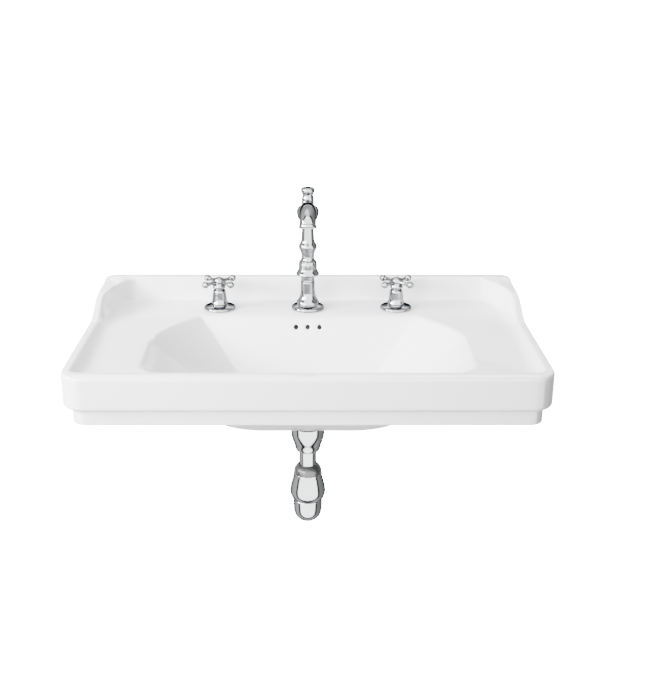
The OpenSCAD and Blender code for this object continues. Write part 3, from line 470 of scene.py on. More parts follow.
def prism(outline: Points, low: float, high: float,
          edge: float = 1.0) -> tuple[np.ndarray, np.ndarray]:
    """A plate with rounded edges from a convex plan, closed by a hair-thin tube in its middle.

    Its rings are the plan scaled about its centre, c + (p - c) s. At both rims the plan draws in
    by edge (1 - sin a) while it rises by edge (1 - cos a), for a from 0 to 90 degrees.

    Args:
        outline: the plan's corners, (x, y).
        low: height of its underside.
        high: height of its top.
        edge: rounding of its rims.

    Returns:
        Points and quads of the closed surface.
    """
    plan = soften([(*p, edge * 2) for p in outline], True, 4)
    centre = plan.mean(0)
    reach = np.linalg.norm(plan - centre, axis=1)[:, None]
    rows = []
    for share, z in ((CORE, low), (0.5, low), (1.0, low), (1.0, high), (0.5, high), (CORE, high)):
        if share == 1.0:
            turn = np.linspace(0, np.pi / 2, 4)
            if z == high:
                turn = turn[::-1]
            for a in turn:
                flat = centre + (plan - centre) * (1 - edge * (1 - math.sin(a)) / reach)
                lift = edge * (1 - math.cos(a)) * (1 if z == low else -1)
                rows.append(np.column_stack([flat, np.full(len(flat), z + lift)]))
        else:
            flat = centre + (plan - centre) * share
            rows.append(np.column_stack([flat, np.full(len(flat), z)]))
    return np.concatenate(rows), grid_faces(len(rows), len(plan), True)


# Pieces of the washbasin


@dataclass(frozen=True)
class Part:
    """One piece of a group: the method that shapes it, its CAD node, body and finish."""

    make: Callable[[], Shell]
    node: str
    body: str
    finish: Finish


@dataclass
class SubAssembly:
    """A group of pieces that are built from one set of sizes."""

    ending: ClassVar[str] = "chrome"

    def keep(self, piece: bpy.types.Object, body: str, node: str, finish: Finish) -> None:
        """Rides a finished piece on its body, lets it stand for its CAD node and reports it.

        Args:
            piece: the object.
            body: the CAD body that carries it.
            node: the CAD node that it replaces.
            finish: its finish; not used.
        """
        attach(piece, body)
        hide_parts(node)
        LOG.info("piece %s on %s, %d faces", piece.name, body, len(piece.data.polygons))

    def parts(self) -> list[Part]:
        """The group's pieces in the order of making."""
        return []

    def build(self) -> None:
        """Builds and dresses every piece of the group."""
        for part in self.parts():
            piece = part.make().piece(f"{part.node}_{self.ending}", [part.finish])
            self.keep(piece, part.body, part.node, part.finish)


class Key(NamedTuple):
    """A key ring of the basin's loft.

    plan holds half the ring, reach is the greatest distance of its rounding's ends, bend the
    points on the rounding and run those on the straight stretch to the next key.
    """

    plan: np.ndarray
    height: np.ndarray | float
    reach: np.ndarray | float
    bend: int
    run: int


@dataclass
class Basin(SubAssembly):
    """The ceramic casting, one loft of closed rings from the drain up, over the rim and back.

    Half a ring has one point for each of 171 columns: 44 along the front, 10 round its corner, 56
    along the side, 16 round the wing and 44 along the back, after the one in the front's middle.
    Its mirror image completes it. Down a column the key points are joined by straight lines, and
    each key point is rounded by the quadratic curve that soften() uses.
    """

    width: float = 800.0
    depth: float = 460.0
    corner_r: float = 38.0
    rim: float = 14.0
    front_rim: float = 30.0
    upstand_t: float = 18.0
    upstand_h: float = 38.0
    sweep_w: float = 44.0
    sweep_l: float = 105.0
    band: float = 60.0
    skirt: float = 89.0
    inset: float = 14.0
    wall: float = 12.0
    mouth_half: float = 281.0
    mouth_back: float = 121.0
    mouth_kink: float = 202.0
    floor_z: float = -152.0
    drain_y: float = -240.0
    drain_r: float = 23.0
    seat_r: float = 32.0
    seat_z: float = -155.0
    boss_r: float = 33.0
    boss_z: float = -178.0
    tap_y: float = -75.0
    tap_x: float = 169.5
    tap_hole_r: float = 17.5
    overflow_r: float = 4.5
    overflow_gap: float = 22.0
    overflow_y: float = -124.0
    overflow_z: float = -28.5
    bolt_x: float = 140.0
    bolt_z: float = -75.0
    bolt_hole_r: float = 8.0
    plate_x: float = 211.5
    plate_top: float = -19.0
    plate_low: float = -115.0
    plate_gap: float = 0.4
    web_in: float = 0.3
    long_n: ClassVar[int] = 44
    corner_n: ClassVar[int] = 10
    side_n: ClassVar[int] = 56
    wing_n: ClassVar[int] = 16
    columns: ClassVar[int] = 171
    round_corner: ClassVar[float] = 0.552

    @staticmethod
    def spread(parts: Sequence[tuple[int, Points]]) -> np.ndarray:
        """Spreads columns over the parts of half a ring, evenly by length within each part.

        Args:
            parts: for each part, its number of columns and its points.

        Returns:
            Array of (columns, 2) from the front's middle to the back's.
        """
        out = [np.array([parts[0][1][0]], dtype=float)]
        for count, line in parts:
            line = np.array(line, dtype=float)
            run = np.concatenate([[0], np.cumsum(np.linalg.norm(np.diff(line, axis=0), axis=1))])
            at = np.linspace(0, run[-1], count + 1)[1:]
            out.append(np.column_stack([np.interp(at, run, line[:, i]) for i in (0, 1)]))
        return np.concatenate(out)

    @staticmethod
    def bend(*corners: Sequence[float], count: int = 40) -> np.ndarray:
        """Points of a Bezier curve, the sum of C(n, i) (1 - t)^(n - i) t^i P_i.

        Args:
            *corners: its control points, n + 1 of them.
            count: number of points.

        Returns:
            Array of (count, 2).
        """
        t = np.linspace(0, 1, count)[:, None]
        n = len(corners) - 1
        return sum(math.comb(n, i) * (1 - t) ** (n - i) * t**i * np.array(c, dtype=float)
                   for i, c in enumerate(corners))

    def outline(self, inset: float, back: float) -> np.ndarray:
        """Half a ring of the apron: front, round corner, side, wing and back.

        Args:
            inset: how far it stands in from the apron's face.
            back: distance of its back edge from the wall.

        Returns:
            Array of (columns, 2).
        """
        x, y, r = self.width / 2 - inset, -self.depth + inset, max(self.corner_r - inset, 3.0)
        side, edge, pull = x - r, y + r, self.round_corner * r
        corner = self.bend((side, y), (side + pull, y), (x, edge - pull), (x, edge))
        wing, end = -self.upstand_t - self.sweep_l, self.width / 2 - self.rim - self.sweep_w
        return self.spread([
            (self.long_n, [(0, y), (side, y)]), (self.corner_n, corner),
            (self.side_n, [(x, edge), (x, wing)]), (8, [(x, wing), (x, -30)]),
            (3, [(x, -30), (x, -back)]), (5, [(x, -back), (end, -back)]),
            (self.long_n, [(end, -back), (0, -back)])])

    def tray(self, back: float, slope: float = 0.0) -> np.ndarray:
        """Half a ring of the inner edge of the rims.

        From the wing the edge sweeps in to the upstand: for t from 0 to 1,
        (x - (w - slope) t^2, -back - l (1 - t) (1 - 0.3 t)).

        Args:
            back: distance of its back edge from the wall.
            slope: how much further in the sides stand.

        Returns:
            Array of (columns, 2).
        """
        x, y, c = self.width / 2 - self.rim - slope, -self.depth + self.front_rim, 12.0
        t = np.linspace(0, 1, 40)
        sweep = np.column_stack([x - (self.sweep_w - slope) * t * t,
                                 -back - self.sweep_l * (1 - t) * (1 - 0.3 * t)])
        return self.spread([
            (self.long_n, [(0, y), (x - c, y)]),
            (self.corner_n, self.bend((x - c, y), (x, y), (x, y + c))),
            (self.side_n, [(x, y + c), sweep[0]]), (self.wing_n, sweep),
            (self.long_n, [sweep[-1], (0, -back)])])

    def mouth(self, grow: float = 0.0) -> np.ndarray:
        """Half a ring of the bowl's mouth, with a kink where the back edge meets the ramps.

        Args:
            grow: distance by which it is widened about its middle.

        Returns:
            Array of (columns, 2).
        """
        w, k, b = self.mouth_half, self.mouth_kink, -self.mouth_back
        front, middle, deep = -402, [0, -261], 141
        ring = self.spread([
            (38, [(0, front), (238, front)]),
            (12, self.bend((238, front), (w, -401), (w, -352))), (24, [(w, -352), (w, -252)]),
            (52, self.bend((w, -252), (w, -204), (248, -160), (k, b))),
            (self.long_n, [(k, b), (0, b)])])
        return (ring - middle) * [1 + grow / w, 1 + grow / deep] + middle

    def floor(self, share: float = 1.0, grow: float = 0.0) -> np.ndarray:
        """Half a ring of the bowl's floor, (p - d) share + d about the drain's middle d.

        Args:
            share: its size against the floor's edge.
            grow: distance by which the edge is widened about its middle.

        Returns:
            Array of (columns, 2).
        """
        front, back, middle, wide, deep = -345, -168, [0, -256.5], 167, 88.5
        ring = self.spread([
            (38, [(0, front), (80, front)]),
            (36, self.bend((80, front), (152, front), (168, -300), (wide, -262))),
            (52, self.bend((wide, -262), (166, -215), (154, -192), (116, back))),
            (self.long_n, [(116, back), (0, back)])])
        ring = (ring - middle) * [1 + grow / wide, 1 + grow / deep] + middle
        return (ring - [0, self.drain_y]) * share + [0, self.drain_y]

    def circle(self, radius: float) -> np.ndarray:
        """Half a ring round the drain, d + r (p - d) / |p - d| for the points p of the floor."""
        around = self.floor() - [0, self.drain_y]
        return around / np.linalg.norm(around, axis=1)[:, None] * radius + [0, self.drain_y]

    def deck_z(self, y: np.ndarray) -> np.ndarray:
        """Height of the deck: -8 to y = -120, then falling evenly to -13 at y = -416 and on."""
        return -8 - 5 * np.clip((-y - 120) / 296, 0, 1)

    def edge_z(self, y: np.ndarray) -> np.ndarray:
        """Height of the rim: an ogee up the wings, then the step to the upstand.

        The ogee is 15 (1 + cos 180t), for t from 1 at y = -188 to 0 at y = -92. From there to
        y = -21 the wing rises evenly by 4 more. The step 3s^2 - 2s^3, for s from 0 at y = -24 to 1
        at y = -18, takes it to the upstand's height.

        Args:
            y: distances from the wall, negative towards the front.

        Returns:
            The heights.
        """
        t = np.clip((-y - 92) / 96, 0, 1)
        wing = 15 * (1 + np.cos(np.pi * t)) + 4 * np.clip((92 + y) / 71, 0, 1)
        step = np.clip((y + 24) / 6, 0, 1)
        return wing + (self.upstand_h - 34) * step * step * (3 - 2 * step)

    def along(self, marks: Sequence[int], values: Sequence[float]) -> np.ndarray:
        """A value for each column, in straight lines between those at the marked columns."""
        return np.interp(np.arange(self.columns), marks, values)

    def keys(self) -> list[Key]:
        """The key rings: drain, bowl, deck, rim, apron, skirt, hollow underside and drain boss.

        crown lowers the two edges of the front rim, and dip the mouth at the sides. outer, inner,
        cove and lip are the roundings of the rim's two edges, the tray's foot and the mouth.

        Returns:
            The keys in order. The last one joins the first.
        """
        front, corner = self.long_n, self.long_n + self.corner_n
        side, back = corner + self.side_n, corner + self.side_n + self.wing_n
        end = self.columns
        top_in, top_out = self.tray(self.upstand_t), self.outline(0, 0)
        crest = (top_in + top_out) / 2
        foot, mouth = self.tray(self.upstand_t + 3, 14), self.mouth()
        hollow = self.outline(self.inset + self.wall, self.wall)
        skirt, bowl = self.outline(self.inset, 0), self.floor_z
        hole, seat, boss = (self.circle(r) for r in (self.drain_r, self.seat_r, self.boss_r))
        crown = self.along([0, front - 2, corner, end], [1.4, 1.4, 0, 0])
        dip = self.along([0, front, 56, 80, side, back, end], [0, 0, 4, 4, 1.5, 0, 0])
        outer = self.along([0, corner, 74, 92, side, side + 11, side + 12, back - 3, end],
                           [7, 7, 7, 10, 15, 17, 5, 1, 1])
        inner = self.along([0, front, corner, 100, back, end], [6, 5, 3.2, 3.2, 4, 4])
        cove = self.along([0, side, back, end], [14, 14, 6, 6])
        lip = self.along([0, 50, 60, 122, 128, end], [9, 8, 6, 6, 14, 15])
        return [
            Key(hole, self.boss_z, 1.0, 3, 2), Key(hole, self.seat_z, 0.8, 3, 0),
            Key(seat, self.seat_z, 0.8, 3, 0), Key(boss, bowl, 1.2, 3, 2),
            Key(self.floor(0.5), bowl + 4.5, 22, 5, 1), Key(self.floor(), bowl + 22, 36, 11, 10),
            Key(mouth, self.deck_z(mouth[:, 1]) - dip, lip, 8, 9),
            Key(foot, self.deck_z(foot[:, 1]), cove, 9, 3),
            Key(top_in, self.edge_z(top_in[:, 1]) - crown, inner, 6, 1),
            Key(crest, self.edge_z(crest[:, 1]), 6, 6, 1),
            Key(top_out, self.edge_z(top_out[:, 1]) - crown, outer, 9, 6),
            Key(top_out, -self.band, 8, 9, 1), Key(skirt, -self.band, 1.2, 3, 2),
            Key(skirt, -self.skirt, 2, 4, 1), Key(hollow, -self.skirt, 2, 4, 3),
            Key(hollow, -20, 8, 6, 6), Key(self.mouth(12), -20, 6, 5, 6),
            Key(self.floor(1.0, 12), -140, 30, 9, 1), Key(self.floor(0.5, 12), -164, 14, 4, 1),
            Key(boss, self.boss_z + 12, 3, 4, 1), Key(boss, self.boss_z, 2, 4, 1)]

    def loft(self, shell: Shell) -> None:
        """Joins the key rings by straight lines, rounds them and mirrors the right half.

        Args:
            shell: the shell that takes the surface.
        """
        keys, n = self.keys(), self.columns
        rings = np.array([np.column_stack([k.plan, np.broadcast_to(k.height, n)]) for k in keys])
        reach = np.array([np.broadcast_to(np.asarray(k.reach, dtype=float), n) for k in keys])
        before, after = np.roll(rings, 1, 0) - rings, np.roll(rings, -1, 0) - rings
        shares = [np.minimum(reach / np.maximum(np.linalg.norm(v, axis=2), 1e-6), 0.49)[..., None]
                  for v in (before, after)]
        starts, ends = rings + before * shares[0], rings + after * shares[1]
        rows = []
        for i, key in enumerate(keys):
            for t in np.linspace(0, 1, key.bend):
                rows.append((1 - t) ** 2 * starts[i] + 2 * t * (1 - t) * rings[i]
                            + t * t * ends[i])
            to = starts[(i + 1) % len(keys)]
            rows.extend(ends[i] + (to - ends[i]) * t
                        for t in np.linspace(0, 1, key.run + 2)[1:-1])
        half = np.array(rows)
        other = half[:, n - 2:0:-1] * [-1, 1, 1]
        whole = np.concatenate([half, other], 1)
        shell.add(whole.reshape(-1, 3), grid_faces(len(rows), whole.shape[1], True))

    def rear(self) -> Shell:
        """Rear plate at the wall, a web at each of its ends, and the overflow channel.

        The plate keeps a small gap to the wall plane, so that it shares no face with the loft.

        Returns:
            A shell of their four surfaces.
        """
        shell, x, near, far = Shell(), self.plate_x, -self.plate_gap, -self.wall
        shell.add(*prism([(-x, near), (x, near), (x, far), (-x, far)], self.plate_low,
                         self.plate_top, 1.5))
        for start in (self.web_in - x, x - self.web_in - self.wall):
            points, quads = prism([(-11, -14), (-118, -14), (-180, -85), (-11, -85)], start,
                                  start + self.wall, 1.5)
            shell.add(points[:, [2, 0, 1]], quads)
        return shell.add(*self.duct())

    def duct(self) -> tuple[np.ndarray, np.ndarray]:
        """Shell of the overflow channel down the back of the bowl, as six square rings.

        Returns:
            Points and quads of the closed surface.
        """
        rows = []
        for z, near, far, half in ((-17, -96, -111, 37), (-24, -97, -112.5, 38),
                                   (-90, -120, -139, 38), (-150, -145, -162, 37),
                                   (-164, -160, -200, 24), (-170, -190, -208, 18)):
            ring = soften([(-half, near, 6), (half, near, 6), (half, far, 6), (-half, far, 6)],
                          True, 4)
            rows.append(np.column_stack([ring, np.full(len(ring), z)]))
        first, last = rows[0], rows[-1]
        rows.insert(0, first.mean(0) + (first - first.mean(0)) * CORE)
        rows.append(last.mean(0) + (last - last.mean(0)) * CORE)
        return np.concatenate(rows), grid_faces(len(rows), len(first), True)

    def build(self) -> None:
        """Lofts the casting, drills its holes and joins the rear to it."""
        shell = Shell()
        self.loft(shell)
        body = shell.piece("basin_loft", [GLAZE])
        gap = self.overflow_gap
        overflow = [(x, self.overflow_y, self.overflow_z) for x in (-gap, 0, gap)]
        taps = [(x, self.tap_y, 0.0) for x in (-self.tap_x, 0, self.tap_x)]
        bolts = [(x, 0.0, self.bolt_z) for x in (-self.bolt_x, self.bolt_x)]
        # The overflow holes' walls take the near-black painted shade.
        drill(body, overflow, self.overflow_r, (-16, 6), Axis.BACK, OVERFLOW_PAINTED_SHADE)
        drill(body, taps, self.tap_hole_r, (-30, 6), Axis.UP, GLAZE, 48)
        rear = self.rear().piece("basin_rear", [GLAZE])
        for part in (body, rear):
            drill(part, bolts, self.bolt_hole_r, (-14, 4), Axis.BACK, GLAZE)
        self.keep(joined("basin_glazed", body, rear), "base", "basin", GLAZE)


def drill(piece: bpy.types.Object, places: Sequence[Place], radius: float,
          reach: tuple[float, float], axis: Axis, finish: Finish, segments: int = 40) -> None:
    """Drills a row of round holes.

    Args:
        piece: the object that gets them.
        places: the middle of each hole.
        radius: their radius.
        reach: where each begins and ends along the axis, from its place.
        axis: their direction.
        finish: the finish of their walls.
        segments: points round each hole.
    """
    cutter, (low, high) = Shell(), reach
    for place in places:
        Lathe([(0, low), (radius, low, 0), (radius, high, 0), (0, high)], place, False, axis,
              segments, 2).into(cutter)
    cut(piece, cutter.piece("cutter", [finish]))


def cut(piece: bpy.types.Object, cutter: bpy.types.Object) -> None:
    """Cuts one object out of another, keeps the cut faces' material and drops the cutter.

    Args:
        piece: the object that is cut.
        cutter: the object whose form is taken away.
    """
    modifier = piece.modifiers.new("cut", "BOOLEAN")
    modifier.operation, modifier.solver, modifier.object = "DIFFERENCE", "EXACT", cutter
    modifier.material_mode = "TRANSFER"
    bake(piece)
    bpy.data.objects.remove(cutter)


def bake(piece: bpy.types.Object) -> None:
    """Puts the result of an object's modifiers into its mesh.

    Args:
        piece: the object.
    """
    bpy.context.view_layer.update()
    seen = piece.evaluated_get(bpy.context.evaluated_depsgraph_get())
    piece.data = bpy.data.meshes.new_from_object(seen)
    piece.modifiers.clear()


def joined(name: str, *parts: bpy.types.Object) -> bpy.types.Object:
    """Joins objects into the first one and names it.

    Args:
        name: the name of the result.
        *parts: the objects.

    Returns:
        The joined object.
    """
    with bpy.context.temp_override(active_object=parts[0], selected_editable_objects=list(parts)):
        bpy.ops.object.join()
    parts[0].name = name
    parts[0].data.name = name
    return parts[0]


@dataclass
class SideValve(SubAssembly):
    """Foot flange, bonnet, cross handle and cap of one side valve."""

    side: Side = Side.LEFT
    spread: float = 339.0
    back: float = 75.0
    foot_z: float = -6.8
    bonnet_z: float = 1.2
    hub_z: float = 29.0
    arm_z: float = 45.5
    reach: float = 34.0
    ball_r: float = 6.5
    angle: float = 45.0

    @property
    def place(self) -> Place:
        """The valve's axis at the rim's height."""
        return (self.side.value * self.spread / 2, -self.back, 0.0)

    def flange(self) -> Shell:
        """Stepped foot flange.

        Returns:
            The flange's surface.
        """
        f = self.foot_z
        return Lathe([(30, f, .4), (30.1, f + 1.6), (29, f + 3.6), (25, f + 5), (20, f + 6),
                      (16.6, f + 6.6), (16, f + 8, .2), (13.3, f + 8, .2), (13.3, f, .2)],
                     self.place).into(Shell())

    def bonnet(self) -> Shell:
        """Waisted bonnet round the cartridge.

        Returns:
            The bonnet's surface.
        """
        b = self.bonnet_z
        return Lathe([(15.6, b, .3), (16.2, b + 1.4), (15.8, b + 3.6), (14.4, b + 6.4),
                      (13.6, b + 11), (13, b + 17), (12.4, b + 22), (12.2, b + 25),
                      (11.4, b + 27.5, .5), (4.1, b + 27.5, .2), (4.1, b + 24.6, .2),
                      (10.1, b + 24.5, .2), (10.1, b, .2)], self.place).into(Shell())

    def handle(self) -> Shell:
        """Hub with four arms, each a turned bar with a ring and a ball at its end.

        The ball's points are (b sin a, reach + b cos a), for a from 148 degrees down.

        Returns:
            The surfaces of the hub and the four arms.
        """
        h, z, shell = self.hub_z, self.arm_z, Shell()
        Lathe([(8.6, h, .3), (7.4, h + 1), (7.6, h + 2.8, .5), (11.6, h + 4, .6), (12.6, h + 6.8),
               (11.4, h + 9.6, .8), (10.4, z - 3), (10.8, z), (10.2, z + 3.6), (9, z + 5.6, .6),
               (7.3, z + 5.6, .2), (7.3, z + 3, .2), (4.1, z + 3, .2), (4.1, h, .2)],
              self.place).into(shell)
        arm = [(0, 7), (4.2, 7, .2), (4.2, 9), (3.5, 15), (3.05, 22), (3.1, 25.4, .3),
               (4.1, 26.0, .4), (4.1, 27.8, .4), (3.0, 28.3, .3), (2.7, 29.2, .3)]
        turn = np.linspace(math.radians(148), 0, 9)[1:]
        arm += [(self.ball_r * math.sin(a), self.reach - self.ball_r * math.cos(math.pi - a))
                for a in turn[:-1]]
        arm.append((0, self.reach + self.ball_r))
        x, y, _ = self.place
        for i in range(4):
            a = math.radians(self.angle + 90 * i)
            c, s = math.cos(a), math.sin(a)
            axis = np.array([[0, 0, 1], [-s, c, 0], [c, s, 0]])
            Lathe(arm, (x, y, z), False, axis, 36, 4).into(shell)
        return shell

    def cap(self) -> Shell:
        """Domed cap in the hub's recess.

        Returns:
            The cap's surface.
        """
        z = self.arm_z + 3
        return Lathe([(0, z), (7.1, z, .2), (7.1, z + 3.2, .5), (6, z + 4.6), (3.4, z + 5.4),
                      (0, z + 5.7)], self.place, False).into(Shell())

    def parts(self) -> list[Part]:
        """Two fixed pieces, and the handle with the cap that turns with it.

        Returns:
            The valve's pieces in the order of making.
        """
        end, moving = self.side.label, f"handle_{self.side.label}"
        return [Part(self.flange, f"valve_flange_{end}", "base", SHADED_TAP_CHROME),
                Part(self.bonnet, f"bonnet_{end}", "base", SHADED_TAP_CHROME),
                Part(self.handle, f"handle_{end}", moving, SHADED_TAP_CHROME),
                Part(self.cap, f"handle_cap_{end}", moving, SHADED_TAP_CHROME)]


@dataclass
class Spout(SubAssembly):
    """Base, column, head with its arm, nozzle ring and the knob on top."""

    back: float = 75.0
    foot_z: float = -6.8
    swivel_z: float = 46.0
    head_z: float = 180.5
    head_r: float = 21.0
    arm_up: float = 2.0
    rise: float = 20.0
    rise_r: float = 150.0
    fall: float = 70.0
    fall_r: float = 27.0
    root_r: float = 16.0
    end_r: float = 15.0
    nozzle: float = 6.0
    column_r: float = 22.2
    bore_r: float = 6.0
    arm_bore: float = 8.8
    rod_bore: float = 2.6
    knob_r: float = 13.0
    knob_h: float = 24.8
    knob_up: float = 22.35
    knob_socket: float = 14.1

    def base(self) -> Shell:
        """Stepped foot under a flared trumpet.

        Returns:
            The base's surface.
        """
        f, s = self.foot_z, self.swivel_z
        return Lathe([(31, f, .4), (31.2, f + 2), (30.2, f + 4.2), (27, f + 6), (23, f + 7.2),
                      (21.6, f + 8, .4), (21.8, f + 10), (21, f + 13.5), (19.4, f + 16),
                      (17.6, f + 18.5), (15.9, f + 22), (14.6, f + 26), (13.7, f + 31),
                      (13.3, f + 38), (13.2, s - 1), (12.6, s - .15, .2), (9.1, s - .15, .2),
                      (9.1, s - 28, .2), (7, s - 28, .2), (7, f + 8, .2), (13.3, f + 8, .2),
                      (13.3, f, .2)], (0, -self.back, 0)).into(Shell())

    def column(self) -> Shell:
        """Turned column with its ring, drum and vase.

        Its outline holds shares of the greatest radius and of the height over the swivel.

        Returns:
            The column's surface.
        """
        s, h = self.swivel_z, self.head_z - 0.9 * self.head_r - self.swivel_z
        ring = [(.594, .008), (.566, .033), (.571, .075), (.623, .1, .8), (.962, .117, .6),
                (1, .13), (.986, .147), (.915, .172), (.83, .197), (.792, .217, 1),
                (.792, .304, .6), (.755, .317, .5), (.75, .345, .6), (.642, .363), (.571, .388),
                (.552, .433), (.575, .475), (.632, .508), (.717, .542), (.778, .575), (.788, .6),
                (.75, .625), (.66, .654), (.59, .683), (.547, .725), (.524, .817), (.491, .883),
                (.476, .95), (.5, 1, .2)]
        outline = [(p[0] * self.column_r, s + p[1] * h, *p[2:]) for p in ring]
        return Lathe([(self.bore_r, s - 26, .2), (9, s - 26, .3), (9, s + .15, .1),
                      (12.4, s + .15, .2), *outline, (self.bore_r, s + h, .2)],
                     (0, -self.back, 0)).into(Shell())

    def centre_line(self, count: int = 24) -> tuple[np.ndarray, np.ndarray]:
        """The arm's two arcs.

        The first climbs by u degrees and levels off, (-R (sin u - sin a), R (cos a - cos u)) for
        a from u to 0. The second falls, (-r sin b, -r (1 - cos b)) from where the first ends.

        Args:
            count: points on each arc.

        Returns:
            Array of (2 count - 1, 2), y and z from the arm's root, and the heading at each point.
        """
        up, r1, r2 = math.radians(self.rise), self.rise_r, self.fall_r
        a = np.linspace(up, 0, count)
        first = np.column_stack([-r1 * (math.sin(up) - np.sin(a)),
                                 r1 * (np.cos(a) - math.cos(up))])
        b = np.linspace(0, math.radians(self.fall), count)[1:]
        second = first[-1] + np.column_stack([-r2 * np.sin(b), -r2 * (1 - np.cos(b))])
        return np.concatenate([first, second]), np.concatenate([a, -b])

    def head(self) -> Shell:
        """Head with its gland, and the arm that leaves it towards the front.

        The head's outline holds shares of its radius, and the arm tapers evenly to its end.

        Returns:
            The surfaces of the head and the arm.
        """
        z, r, shell = self.head_z, self.head_r, Shell()
        shape = [(.53, -.9, .3), (.62, -.82), (.77, -.7), (.87, -.55), (.93, -.35), (.98, -.15),
                 (1, .025), (.985, .2), (.91, .37), (.78, .5), (.65, .57, .4), (.62, .62, .4),
                 (.56, .68, .6), (.545, .8), (.57, .9), (.53, 1.05, .6)]
        outline = [(p[0] * r, z + p[1] * r, *p[2:]) for p in shape]
        Lathe([(self.bore_r, z - 0.9 * r, .2), *outline, (self.rod_bore, z + 1.05 * r, .2),
               (self.rod_bore, z + 5, .2), (self.bore_r, z + 5, .2)],
              (0, -self.back, 0)).into(shell)
        line, heading = self.centre_line()
        share = np.linspace(0, 1, len(line))
        outer = self.root_r + (self.end_r - self.root_r) * share
        lift = line + [-self.back, z + self.arm_up]
        return shell.add(*tube_along(lift[2:], heading[2:], outer[2:], self.arm_bore))

    def mouth_axis(self) -> tuple[np.ndarray, Place]:
        """Where the arm's mouth is.

        Returns:
            Its axes as rows, the last along the water's way out, and its place.
        """
        line, heading = self.centre_line()
        h = heading[-1]
        out = np.array([0.0, -math.cos(h), math.sin(h)])
        side = np.array([1.0, 0.0, 0.0])
        return np.array([side, np.cross(out, side), out]), (
            0.0, line[-1][0] - self.back, line[-1][1] + self.head_z + self.arm_up)

    def ring(self) -> Shell:
        """Nozzle ring at the arm's mouth.

        Returns:
            The ring's surface.
        """
        axis, place = self.mouth_axis()
        r, n = self.end_r, self.nozzle
        return Lathe([(r - 2, 0, .2), (r + .6, 0, .3), (r + 1.4, 1, .6), (r + 1.4, n - 1.4, .8),
                      (r + .4, n, .5), (r - 2, n, .2)], place, True, axis).into(Shell())

    def knob(self) -> Shell:
        """Turned knob of the lift rod.

        Returns:
            The knob's surface.
        """
        z, h, rod, socket = (self.head_z + self.knob_up, self.knob_h, self.rod_bore,
                             self.knob_socket)
        shape = [(.84, 0, .3), (.88, .05), (.87, .18), (.81, .28), (.78, .36), (.78, .44),
                 (.82, .52), (.94, .6), (1, .69), (1, .82), (.91, .92), (.7, .976), (.385, .992)]
        outline = [(p[0] * self.knob_r, z + p[1] * h, *p[2:]) for p in shape]
        return Lathe([(0, z + socket), (rod, z + socket, .1), (rod, z, .1), *outline, (0, z + h)],
                     (0, -self.back, 0), False).into(Shell())

    def parts(self) -> list[Part]:
        """The fixed base, the three pieces that swivel on it, and the knob that slides up.

        Returns:
            The spout's pieces in the order of making.
        """
        return [Part(self.base, "spout_base", "base", SHADED_TAP_CHROME),
                Part(self.column, "spout_column", "spout", SHADED_TAP_CHROME),
                Part(self.head, "spout_head", "spout", SHADED_TAP_CHROME),
                Part(self.ring, "spout_nozzle", "spout", SHADED_TAP_CHROME),
                Part(self.knob, "lift_knob", "lift", SHADED_TAP_CHROME)]


@dataclass
class Waste(SubAssembly):
    """Waste flange in the drain and the tapered body under it."""

    back: float = 240.0
    seat_z: float = -155.0
    top_z: float = -181.0
    height: float = 48.0
    flange_r: float = 31.0
    tube_r: float = 19.0
    bore_r: float = 17.0
    lever_y: float = -207.0
    lever_z: float = -205.0

    def flange(self) -> Shell:
        """Dished flange on its tube.

        Returns:
            The surface of the flange with its tube.
        """
        f, r, t, low = self.seat_z + 1.2, self.flange_r, 2.4, self.top_z - 11
        return Lathe([(self.bore_r, low, .3), (self.tube_r, low, .4), (self.tube_r, f, .2),
                      (r, f, .3), (r, f + t - 1, .6), (r - 2, f + t, 1.2), (24, f + t, .8),
                      (22, f + t - .6, .6), (self.bore_r, f + t - 5, 1)], (0, -self.back, 0),
                     True, Axis.UP, 96).into(Shell())

    def body(self) -> Shell:
        """Tapered body with the lever's port at the back.

        Returns:
            The surfaces of the body and the port.
        """
        z, r, h, shell = self.top_z, self.flange_r, self.height, Shell()
        Lathe([(17.05, z, .2), (r, z, .5), (r, z - 14, 2), (r - .8, z - 20), (r - 3, z - 28),
               (r - 6, z - 36), (r - 7.8, z - 44), (r - 9.2, z - h, .5),
               (16.1, z - h, .2), (16.1, z - h + 13, .2), (17.05, z - h + 15, .2)],
              (0, -self.back, 0)).into(shell)
        return Lathe([(8.1, -12, .2), (10, -12, .3), (10, 7, .4), (8.1, 7, .2)],
                     (0, self.lever_y, self.lever_z), True, Axis.BACK, 40).into(shell)

    def parts(self) -> list[Part]:
        """The flange and the body, both fixed."""
        return [Part(self.flange, "waste_flange", "base", CHROME),
                Part(self.body, "waste_body", "base", CHROME)]


